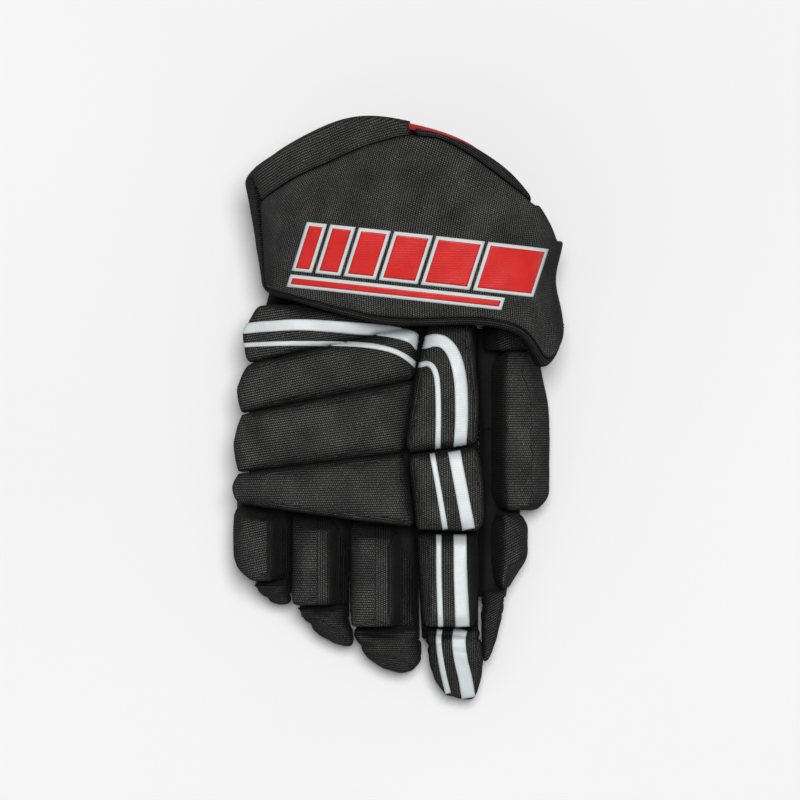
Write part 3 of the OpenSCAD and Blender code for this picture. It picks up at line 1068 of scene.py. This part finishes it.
def smooth_path(points, count):
    """An evenly stepped smooth curve through a few points."""
    points = np.array(points, float)
    ends = np.concatenate([[2 * points[0] - points[1]], points, [2 * points[-1] - points[-2]]])
    samples = []
    for i in range(len(points) - 1):
        t = np.linspace(0, 1, 24, endpoint=False)[:, None]
        samples.append(spline(*ends[i : i + 4], t))
    curve = np.concatenate(samples + [points[-1:]])
    length = arc_lengths(curve)
    even = np.linspace(0, length[-1], count)
    return np.stack([np.interp(even, length, curve[:, k]) for k in range(2)], 1)


def pressed_sheet(flat, tree, lift, thick, steep, edge=None):
    """Drops a grid of (x, y) points on a surface. Returns outer and inner grids and which points landed.
    The inner side lies SHEET_ROOT under lift, so that the sheet has no gap below it."""
    rows, columns = flat.shape[:2]
    outer, inner = np.zeros((rows, columns, 3)), np.zeros((rows, columns, 3))
    landed = np.zeros((rows, columns), bool)
    for i in range(rows):
        for j in range(columns):
            hit, normal = drop_onto(tree, *flat[i, j], edge)
            if hit is not None and normal.z > steep:
                outer[i, j] = np.array(hit) + np.array(normal) * (lift + thick)
                inner[i, j] = np.array(hit) + np.array(normal) * (lift - SHEET_ROOT)
                landed[i, j] = True
    return outer, inner, landed


def partial_solid(name, outer, inner, landed, material, weave):
    """A closed solid over the cells of a grid whose four corners landed."""
    rows, columns = landed.shape
    count = rows * columns
    cells = landed[:-1, :-1] & landed[1:, :-1] & landed[:-1, 1:] & landed[1:, 1:]
    faces = []

    def cell(i, j):
        return 0 <= i < rows - 1 and 0 <= j < columns - 1 and cells[i, j]

    for i, j in zip(*np.nonzero(cells)):
        a, b = i * columns + j, (i + 1) * columns + j
        c, d = b + 1, a + 1
        faces.append((a, b, c, d))
        faces.append(tuple(k + count for k in (d, c, b, a)))
        for gone, p, q in ((not cell(i - 1, j), d, a), (not cell(i + 1, j), b, c),
                           (not cell(i, j - 1), a, b), (not cell(i, j + 1), c, d)):
            if gone:
                faces.append((p, q, q + count, p + count))
    obj = make_object(name, stacked(outer, inner), [tuple(int(k) for k in f) for f in faces], material)
    set_weave(obj, stacked(weave, weave))
    with editing(obj) as bm:
        bmesh.ops.delete(bm, geom=[v for v in bm.verts if not v.link_faces], context="VERTS")
    smooth(obj)
    return obj


def ribbon(name, path, first, last, tree, step=0.8, steep=0.12, edge=None, square=True):
    """A printed stripe along a path of (x, y) points, from its first width to its last.
    With square, its ends are cut straight across where it leaves the surface."""
    length = sum(math.dist(a, b) for a, b in zip(path, path[1:]))
    line = smooth_path(path, max(8, round(length / step)))
    ahead = np.gradient(line, axis=0)
    ahead = unit(ahead)
    side = np.stack([-ahead[:, 1], ahead[:, 0]], 1)
    wide = np.linspace(first, last, len(line))[:, None, None]
    across = np.linspace(-0.5, 0.5, max(5, round(max(first, last) / 0.8)))[None, :, None]
    flat = line[:, None, :] + side[:, None, :] * across * wide
    outer, inner, landed = pressed_sheet(flat, tree, 0.25, 0.3, steep, edge)
    if square:
        landed &= landed.all(1)[:, None]
    return partial_solid(name, outer, inner, landed, WHITE_FILM, flat)


WIDE, THIN = 7.5, 3.2
ROLL_END = (-80.0, 40.0, 12.5)
WRAPPED = {"steep": -1, "edge": ROLL_END, "square": False, "step": 0.6}
# For each surface: its pads, its body, the CAD node of its stripes and how they are laid; then each stripe's
# name, first and last width, and path
STRIPES = (
    (("back_roll_1", "back_roll_2"), "hand", "back_stripes", WRAPPED, (
        ("wide_back", 6.2, WIDE,
         [(-99, -5.5), (-78, -3.8), (-57, -3), (-27, -5), (-8, -6.6), (6, -10), (12, -15.5), (17, -23)]),
        ("thin_back", 2.6, THIN,
         [(-99, -15.2), (-78, -14.4), (-59, -14), (-30, -14.6), (-12, -16.5), (0, -20.3), (9, -27),
          (15, -35)]),
    )),
    (("knuckle_pad_upper",), "hand", "knuckle_stripes", {"square": False}, (
        ("wide_knuckle", WIDE, WIDE,
         [(10.5, -14.2), (15.5, -13.4), (21, -12.3), (27, -14), (32.5, -21.5), (36, -36), (36.8, -58),
          (35.4, -82)]),
        ("thin_knuckle", THIN, THIN,
         [(8.5, -27.8), (13, -26.8), (17.2, -26.4), (20.6, -29.8), (22.4, -38), (23, -57), (22.5, -82)]),
    )),
    (("knuckle_pad_lower",), "hand", None, {}, (
        ("wide_knuckle_low", WIDE, WIDE, [(31.5, -74), (36, -98), (42, -130)]),
        ("thin_knuckle_low", THIN, THIN, [(18.5, -76), (22.5, -98), (27.9, -130)]),
    )),
    (("index_pad",), "index_base", "index_pad_stripes", {}, (
        ("wide_index", 7.6, 8.2, [(36, -124), (36.2, -153), (37.6, -188)]),
        ("thin_index", THIN, THIN, [(23.3, -124), (23.4, -153), (24.6, -188)]),
    )),
    (("index_tip_pad",), "index_tip", "index_tip_stripes", {}, (
        ("wide_tip", 8.2, 8.0, [(37.6, -183), (35.4, -192), (36.6, -204), (39.3, -216), (42.2, -233)]),
        ("thin_tip", THIN, THIN, [(24.6, -183), (23.3, -192), (24.6, -204), (27, -216), (31, -232)]),
    )),
)


def build_stripes(shown):
    for pads, body, node, laid, stripes in STRIPES:
        tree = surface_tree(*(shown[name] for name in pads))
        for name, first, last, path in stripes:
            stripe = ribbon(f"stripe_{name}", path, first, last, tree, **laid)
            dress(stripe, [node] if node and "wide" in name else (), body)


# Emblem: a row of slanted blocks that widen towards the thumb, and a thin line under them
BLOCK_WIDTHS = (8, 11, 15, 19, 25, 32)
BLOCK_GAP = 6.0
BLOCK_START = (-62.0, 31.0)
BLOCK_HIGH = 25.0
LINE_LOW, LINE_HIGH = -9.5, -6.0
LINE_END = 124.0
LEAN = 0.32
FALL = 0.11
OUTLINE = 2.0


SHEET_STEP = 0.9


def quad_sheet(corners):
    """An even grid over a four-sided outline given as (low left, low right, high right, high left)."""
    a, b, c, d = (np.array(p, float) for p in corners)
    rows, columns = (max(6, round(np.linalg.norm(p - a) / SHEET_STEP)) for p in (b, d))
    u = np.linspace(0, 1, rows)[:, None, None]
    v = np.linspace(0, 1, columns)[None, :, None]
    return (a * (1 - u) + b * u) * (1 - v) + (d * (1 - u) + c * u) * v


def grown(corners, extra):
    """The outline moved outward by extra on every side."""
    points = [np.array(p, float) for p in corners]
    moved = []
    for i, p in enumerate(points):
        before, after = points[i - 1], points[(i + 1) % 4]
        e, f = unit(p - before), unit(after - p)
        m, n = np.array([e[1], -e[0]]), np.array([f[1], -f[0]])
        moved.append(p + extra * (m + n) / (1 + m @ n))
    return moved


def slanted_block(x0, x1, y0, y1):
    """Corners of a leaning block, from distances along and above the start of the row, which falls
    to the right."""
    corners = [(x0, y0), (x1, y0), (x1, y1), (x0, y1)]
    return [(BLOCK_START[0] + x + y * LEAN, BLOCK_START[1] + y - x * FALL) for x, y in corners]


def build_emblem(panel):
    tree = surface_tree(panel)
    layers = (
        ("outline", WHITE_FILM, "stripe_film", OUTLINE, 0.2),
        ("fill", RED_FILM, "emblem_film", 0.0, 0.5),
    )
    shapes, x = [slanted_block(0, LINE_END, LINE_LOW, LINE_HIGH)], 0
    for width in BLOCK_WIDTHS:
        shapes.append(slanted_block(x, x + width, 0, BLOCK_HIGH))
        x += width + BLOCK_GAP
    for k, corners in enumerate(shapes):
        for layer, material, slot, extra, lift in layers:
            flat = quad_sheet(grown(corners, extra))
            sheet = pressed_sheet(flat, tree, lift, 0.25, 0.05)
            obj = partial_solid(f"emblem_{layer}_{k + 1}", *sheet, material, flat)
            dress(obj, ["cuff_emblem"] if k == 0 and layer == "fill" else (), "cuff")


# ---------------- hand shell, sleeves and gussets

def oval(x0, x1, z0, z1, power, angles):
    """Points of a rounded rectangle in x and z."""
    c, s = np.cos(angles), np.sin(angles)
    x = (x0 + x1) / 2 + (x1 - x0) / 2 * np.sign(c) * np.abs(c) ** (2 / power)
    z = (z0 + z1) / 2 + (z1 - z0) / 2 * np.sign(s) * np.abs(s) ** (2 / power)
    return np.stack([x, z], -1)


def shell(name, outer, centre, thick, material, wrap):
    """A thin solid whose outer side faces away from a centre."""
    normals = grid_normals(outer, wrap)
    if ((outer - centre) * normals).sum() < 0:
        normals = -normals
    return grid_solid(name, outer, outer - normals * thick, material, grid_weave(outer), wrap)


def tube(name, stations, material, power, around=72, turns=(0.0, 1.0)):
    """A sleeve through stations of (y, x0, x1, z0, z1); y may be (at x0, at x1) for a slanted end.
    turns is the part of the round that it covers."""
    wrap = turns == (0.0, 1.0)
    angles = np.linspace(*turns, around, endpoint=not wrap) * math.tau
    columns = []
    for y, x0, x1, z0, z1 in stations:
        ring = oval(x0, x1, z0, z1, power, angles)
        ends = y if isinstance(y, tuple) else (y, y)
        ring_y = ends[0] + (ends[1] - ends[0]) * (ring[:, 0] - x0) / (x1 - x0)
        columns.append(np.stack([ring[:, 0], ring_y, ring[:, 1]], -1))
    outer = np.stack(columns, 1)
    centre = outer.mean(axis=(0, 1))
    if not wrap:
        _, x0, x1, z0, z1 = stations[0]
        centre = np.array([(x0 + x1) / 2, centre[1], (z0 + z1) / 2])
    return shell(name, outer, centre, 1.4, material, wrap)


def stations_between(first, last, count):
    """Even stations from one to another."""
    def between(a, b, t):
        if isinstance(a, tuple):
            return tuple(between(p, q, t) for p, q in zip(a, b))
        return a + (b - a) * t

    return [between(first, last, t) for t in np.linspace(0, 1, count)]


# Parts of the hand shell: name, material, part of the round, CAD node, slot
SHELL_PARTS = (
    ("back_liner_cloth", LINING, (0.03, 0.47), "back_liner", "liner"),
    ("ulnar_gusset_cloth", MESH, (0.468, 0.532), "ulnar_gusset", "gusset_mesh"),
    ("palm_sheet_suede", SUEDE, (0.53, 0.97), "palm_sheet", "palm_leather"),
    ("radial_gusset_cloth", MESH, (0.968, 1.032), "radial_gusset", "gusset_mesh"),
)


def build_hand_shell():
    back_low, back_high = (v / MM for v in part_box("back_liner"))
    palm_low, palm_high = (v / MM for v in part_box("palm_sheet"))
    left, right, heights = back_low[0] - 1, palm_high[0] + 1.2, (palm_low[2] - 0.2, back_high[2] + 0.6)
    wrist = ((3.0, 3.0), back_low[0] + 4, palm_high[0], *heights)
    middle = ((-50.0, -50.0), left, right, *heights)
    fingers = ((-109.0, -126.5), left, right, *heights)
    stations = stations_between(wrist, middle, 20)[:-1] + stations_between(middle, fingers, 24)
    for name, material, turns, node, slot in SHELL_PARTS:
        dress(tube(name, stations, material, 5.0, 60, turns), [node], "hand")


def joint_at(name):
    return next(j for j in frame["joints"] if j["name"] == name)


SLEEVE_BEND_Z = 0.5


def sleeve_piece(name, stations, bodies, start_y, end_y, x, nodes=()):
    """A sleeve over a joint. It bends from the first body to the second between two y places."""
    obj = tube(name, stations, SUEDE, 3.6)
    start, end = ((x * MM, y * MM, SLEEVE_BEND_Z * MM) for y in (start_y, end_y))
    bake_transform(obj, *bodies, start=start, end=end)
    dress(obj, nodes)


# The x of the sides of the finger sleeves, whose neighbours almost touch, and of the sides at their ends
SLEEVE_SIDES = {
    "little": (-98.4, -65.2), "ring": (-65.14, -30.56), "middle": (-30.5, 10.97), "index": (11.03, 47.2),
}
SLEEVE_ENDS = {
    "little": (-84.0, -65.3), "ring": (-59.5, -30.7), "middle": (-25.5, 11.95), "index": (13.3, 47.3),
}
THUMB_INNER = 47.4


def build_finger_sleeves():
    for finger in FINGERS:
        root, joint = (joint_at(f"{finger}_{j}")["pos_m"][1] / MM for j in ("knuckle", "middle_joint"))
        sides, half = SLEEVE_SIDES[finger], (root + joint) / 2
        sleeve_piece(
            f"{finger}_sleeve_root",
            stations_between((root + 14, *sides, 2.2, 33.0), (half - 1, *sides, 0.6, 25.0), 30),
            ("hand", f"{finger}_base"), root + 7, root - 9, sum(sides) / 2, [f"{finger}_sleeve"],
        )
        end = (joint - 7, *SLEEVE_ENDS[finger], 2.0, 25.0)
        sleeve_piece(
            f"{finger}_sleeve_end", stations_between((half + 1, *sides, 0.8, 25.2), end, 26),
            (f"{finger}_base", f"{finger}_tip"), joint + 7, joint - 5, sum(sides) / 2,
        )


def build_thumb_sleeves():
    side = (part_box("thumb_sleeve")[1] / MM)[0]
    tip_low, tip_high = (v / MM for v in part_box("thumb_tip_sleeve"))
    root, joint = (joint_at(name)["pos_m"][1] / MM for name in ("thumb_swing", "thumb_bend"))
    first = (root + 16, THUMB_INNER - 4, side, 2.4, 24.0)
    sleeve_piece(
        "thumb_sleeve_root", stations_between(first, (-66.0, THUMB_INNER, side + 1, 0.8, 24.0), 30),
        ("hand", "thumb_base"), root + 9, root - 12, 66, ["thumb_sleeve"],
    )
    start = (-64.0, THUMB_INNER + 0.2, side + 0.8, 1.0, 24.0)
    bend = (joint + 4, THUMB_INNER, side - 4, 0.8, 24.0)
    end = (tip_low[1] - 6, THUMB_INNER, tip_high[0] - 4, 1.6, 22.0)
    sleeve_piece(
        "thumb_sleeve_end", stations_between(start, bend, 16)[:-1] + stations_between(bend, end, 20),
        ("thumb_base", "thumb_tip"), joint + 8, joint - 8, 62, ["thumb_tip_sleeve"],
    )


HAND_OVAL = (-84.0, 46.0, 2.6, 33.0, 3.0)


def build_wrist_sleeve():
    """Stretch cloth from the hand shell to the cuff lining."""
    s = np.linspace(0, CUFF_COUNT, 96, endpoint=False)
    y = np.maximum(34.0, hem(s) + 8)
    far = cuff_surface(s, y) - cuff_normal(s, y) * (lining_depth(s) + 0.5)[:, None]
    near = oval(*HAND_OVAL, np.arctan2(far[:, 2] - 30, (far[:, 0] - 7) * 0.5))
    near = np.column_stack([near[:, 0], np.full(len(near), -2.0), near[:, 1]])
    t = np.linspace(0, 1, 30)[None, :, None]
    outer = near[:, None] * (1 - t) + far[:, None] * t
    obj = shell("wrist_sleeve", outer, outer.mean(axis=(0, 1)), 1.2, MESH, True)
    height = joint_at("wrist_flex")["pos_m"][2]
    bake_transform(obj, "hand", "cuff", start=(0, -0.002, height), end=(0, 0.026, height))
    dress(obj)


# ---------------- palm patch and stitches

# The edge of a sheet, from its middle below to its middle above: (share of the outline, share of the height)
SHEET_EDGE = (
    (0.001, 0.0), (0.5, 0.0), (0.96, 0.0), (0.985, 0.12), (1.0, 0.5), (0.985, 0.88), (0.96, 1.0), (0.5, 1.0),
    (0.001, 1.0),
)


def outline_sheet(name, corners, z0, z1, material, radius=8.0):
    """A flat sheet with rounded corners and soft edges."""
    points = [np.array(c, float) for c in corners]
    edge = []
    for i, p in enumerate(points):
        a, b = (p + unit(q - p) * radius for q in (points[i - 1], points[(i + 1) % len(points)]))
        for t in np.linspace(0, 1, 9):
            edge.append((1 - t) ** 2 * a + 2 * t * (1 - t) * p + t * t * b)
    edge = np.array(edge)
    centre = edge.mean(0)
    rows = []
    for share, height in SHEET_EDGE:
        ring = centre + (edge - centre) * share
        rows.append(np.column_stack([ring, np.full(len(ring), z0 + (z1 - z0) * height)]))
    grid = np.stack(rows, 1)
    n, m = grid.shape[:2]
    faces = grid_faces(n, m, True)
    faces.append(tuple(i * m for i in range(n)))
    faces.append(tuple(i * m + m - 1 for i in reversed(range(n))))
    return make_object(name, stacked(grid), faces, material), edge


# Cross-sections of one stitch: (share of its length, share of its radius, height over the cloth)
STITCH = ((0.0, 0.35, -0.2), (0.18, 1.0, 0.1), (0.5, 1.1, 0.25), (0.82, 1.0, 0.1), (1.0, 0.35, -0.2))
STITCH_SIDES = 6


def stitches(name, path, normals, body, length=2.3, pitch=3.3, radius=0.38):
    """Short threads laid along a path."""
    steps = arc_lengths(path)
    turn = (np.arange(STITCH_SIDES) * math.tau / STITCH_SIDES)[:, None]
    points, faces = [], []
    for k in range(int(steps[-1] / pitch)):
        ends = [k * pitch, k * pitch + length]
        a, b = (np.array([np.interp(e, steps, path[:, i]) for i in range(3)]) for e in ends)
        n = unit(np.array([np.interp(ends[0], steps, normals[:, i]) for i in range(3)]))
        side = np.cross(unit(b - a), n)
        start = len(points)
        for share, size, rise in STITCH:
            middle = a + (b - a) * share + n * rise
            points.extend(middle + (side * np.cos(turn) + n * np.sin(turn)) * radius * size)
        for p in range(start, len(points) - STITCH_SIDES, STITCH_SIDES):
            for j in range(STITCH_SIDES):
                q, after = p + STITCH_SIDES, (j + 1) % STITCH_SIDES
                faces.append((p + j, q + j, q + after, p + after))
        faces.append(tuple(reversed(range(start, start + STITCH_SIDES))))
        faces.append(tuple(range(len(points) - STITCH_SIDES, len(points))))
    dress(make_object(name, points, faces, THREAD), (), body)


PALM_PATCH = [(-80, -100), (4, -110), (38, -112), (38, -20), (16, 1), (-16, 1), (-60, -10), (-80, -30)]


def build_palm():
    patch, edge = outline_sheet("palm_patch_suede", PALM_PATCH, 0.0, 1.6, SUEDE_PATCH)
    dress(patch, ["palm_patch"], "hand")
    centre = edge.mean(0)
    for k, inset in enumerate((3.0, 5.6)):
        line = centre + (edge - centre) * (1 - inset / 50)
        path = np.column_stack([line, np.full(len(line), 0.02)])
        path = np.concatenate([path, path[:1]])
        down = np.tile((0.0, 0.0, -1.0), (len(path), 1))
        stitches(f"palm_patch_stitch_{k + 1}", path, down, "hand")


def build_cuff_seams():
    """Rows of stitches over the cuff: beside the crease of the left rim panel, and above the hem."""
    left, round_ = np.linspace(6.95, 9.6, 160), np.linspace(3.1, 10.1, 300)
    for name, s, y, sunk in (
        ("cuff_seam_left", left, crease(left) + 2.4, 0.55),
        ("cuff_seam_hem", round_, hem(round_) + HEM_WIDTH + 2.3, 0.1),
    ):
        normal = cuff_normal(s, y)
        path = cuff_surface(s, y) - normal * (sunk - 0.15)
        stitches(name, path, normal, "cuff", length=1.9, pitch=2.7, radius=0.28)


# ---------------- painted shade

def even_directions(count):
    """Directions spread evenly over a sphere."""
    k = np.arange(count) + 0.5
    tilt, turn = np.arccos(1 - 2 * k / count), math.pi * (1 + 5 ** 0.5) * k
    return np.stack([np.cos(turn) * np.sin(tilt), np.sin(turn) * np.sin(tilt), np.cos(tilt)], 1)


REACH = 24.0


def openness(obj, tree, directions):
    """How open the view from each point of a mesh is, from 0 to 1."""
    points, normals = get_points(obj), get_normals(obj)
    facing = normals @ directions.T
    facing[facing < 0.12] = 0
    rays = [Vector(d) for d in directions]
    cast = tree.ray_cast
    result = np.ones(len(points))
    for i, origin in enumerate(points + normals * 0.6):
        start, weights = Vector(origin), facing[i]
        total = blocked = 0.0
        for k in np.nonzero(weights)[0]:
            total += weights[k]
            distance = cast(start, rays[k], REACH)[3]
            if distance is not None:
                blocked += weights[k] * (1 - distance / REACH * 0.6)
        result[i] = 1 - blocked / max(total, 1e-6)
    return result


OPEN_PIECES = ("stitch", "seam", "lining", "liner", "binding", "patch")
# The lowest painted shade value, the power that deepens painted shade where the view is blocked, and the
# power that softens it on films.
DARKEST_PAINTED_SHADE, CONTRAST, FILM_SHARE = 0.06, 2.5, 0.3


def is_film(obj):
    return "stripe" in obj.name or "emblem" in obj.name


def shade_pieces():
    """Paints shade into the cloth's colour: darker where nearby pieces block the view out, as in gaps, and
    darker on steep walls, as if lit from above. Films take a softer share of it.
    """
    pieces = [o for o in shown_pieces() if o.type == "MESH" and o.name not in frame["nodes"]]
    solid = [o for o in pieces if not any(word in o.name for word in OPEN_PIECES)]
    tree = surface_tree(*(o for o in solid if not is_film(o)))
    directions = even_directions(22)
    for obj in pieces:
        values = np.ones(len(obj.data.vertices))
        if obj in solid:
            # Painted shade on steep walls, as if lit from above, and in places that nearby pieces hide.
            wall = 1 - 0.8 * ease((0.8 - get_normals(obj)[:, 2]) / 0.5)
            open_share = even_out(obj, openness(obj, tree, directions))
            values = DARKEST_PAINTED_SHADE + (1 - DARKEST_PAINTED_SHADE) * open_share ** CONTRAST * even_out(obj, wall)
            if is_film(obj):
                values = values ** FILM_SHARE
        layer = obj.data.attributes.new("shade", "FLOAT_COLOR", "POINT")
        layer.data.foreach_set("color", np.repeat(values, 4).astype(np.float32))


# ---------------- inside parts kept from the CAD

def paint_inside():
    """Inside parts that keep their CAD shape get a material."""
    for name, obj in frame["nodes"].items():
        if not obj.hide_render:
            obj.data.materials.clear()
            obj.data.materials.append(PLASTIC if "stiffener" in name else FOAM)


# ---------------- stage

LENS, SENSOR = 400.0, 36.0
VIEW_WIDTH = 0.48
VIEW_CENTRE = (0.0, -0.048, 0.05)


# Half the floor's width in millimetres, and its height in metres, just under the glove
FLOOR_HALF, FLOOR_HEIGHT = 12000, -0.0008


def build_stage():
    corners = [(x * FLOOR_HALF, y * FLOOR_HALF, 0) for x, y in ((-1, -1), (1, -1), (1, 1), (-1, 1))]
    floor = make_object("floor", corners, [(0, 1, 2, 3)], FLOOR)
    floor.location.z = FLOOR_HEIGHT
    build_world(light=0.17, seen=0.88)
    add_sun("key", (0.12, 0.30, 1.6), softness=26.0, strength=2.5)
    add_sun("side", (-1.0, -0.8, 0.8), softness=40.0, strength=0.12)
    camera_data = bpy.data.cameras.new("camera")
    camera_data.lens = LENS
    camera_data.sensor_width = SENSOR
    camera_data.clip_end = 50.0
    camera = add_object("camera", camera_data)
    camera.location = Vector(VIEW_CENTRE) + Vector((0, 0, VIEW_WIDTH * LENS / SENSOR))
    bpy.context.scene.camera = camera
    bpy.context.scene.view_settings.view_transform = "Standard"


def build_world(light, seen):
    """An even white surround: its brightness as a light, and as the camera sees it."""
    world = bpy.data.worlds.new("studio")
    world.use_nodes = True
    tree = world.node_tree
    background = tree.nodes["Background"]
    path = tree.nodes.new("ShaderNodeLightPath")
    pick = tree.nodes.new("ShaderNodeMapRange")
    pick.inputs["To Min"].default_value = light
    pick.inputs["To Max"].default_value = seen
    tree.links.new(path.outputs["Is Camera Ray"], pick.inputs["Value"])
    tree.links.new(pick.outputs[0], background.inputs["Strength"])
    background.inputs["Color"].default_value = (1.0, 1.0, 1.0, 1.0)
    bpy.context.scene.world = world


def add_sun(name, place, softness, strength):
    """An even light from the direction of a place; softness is its width in degrees."""
    data = bpy.data.lights.new(name, "SUN")
    data.angle = math.radians(softness)
    data.energy = strength
    light = add_object(name, data)
    light.rotation_euler = (-Vector(place)).to_track_quat("-Z", "Y").to_euler()


# ---------------- build

build_back()
build_fingers()
build_thumb()
cloth_pass()
cuff_panels()
build_lining()
build_binding()
build_hand_shell()
build_finger_sleeves()
build_thumb_sleeves()
build_wrist_sleeve()
build_palm()
build_cuff_seams()
shown = {o.name: o for o in bpy.context.scene.objects}
build_stripes(shown)
build_emblem(shown["cuff_main_panel"])
paint_inside()
shade_pieces()
build_stage()
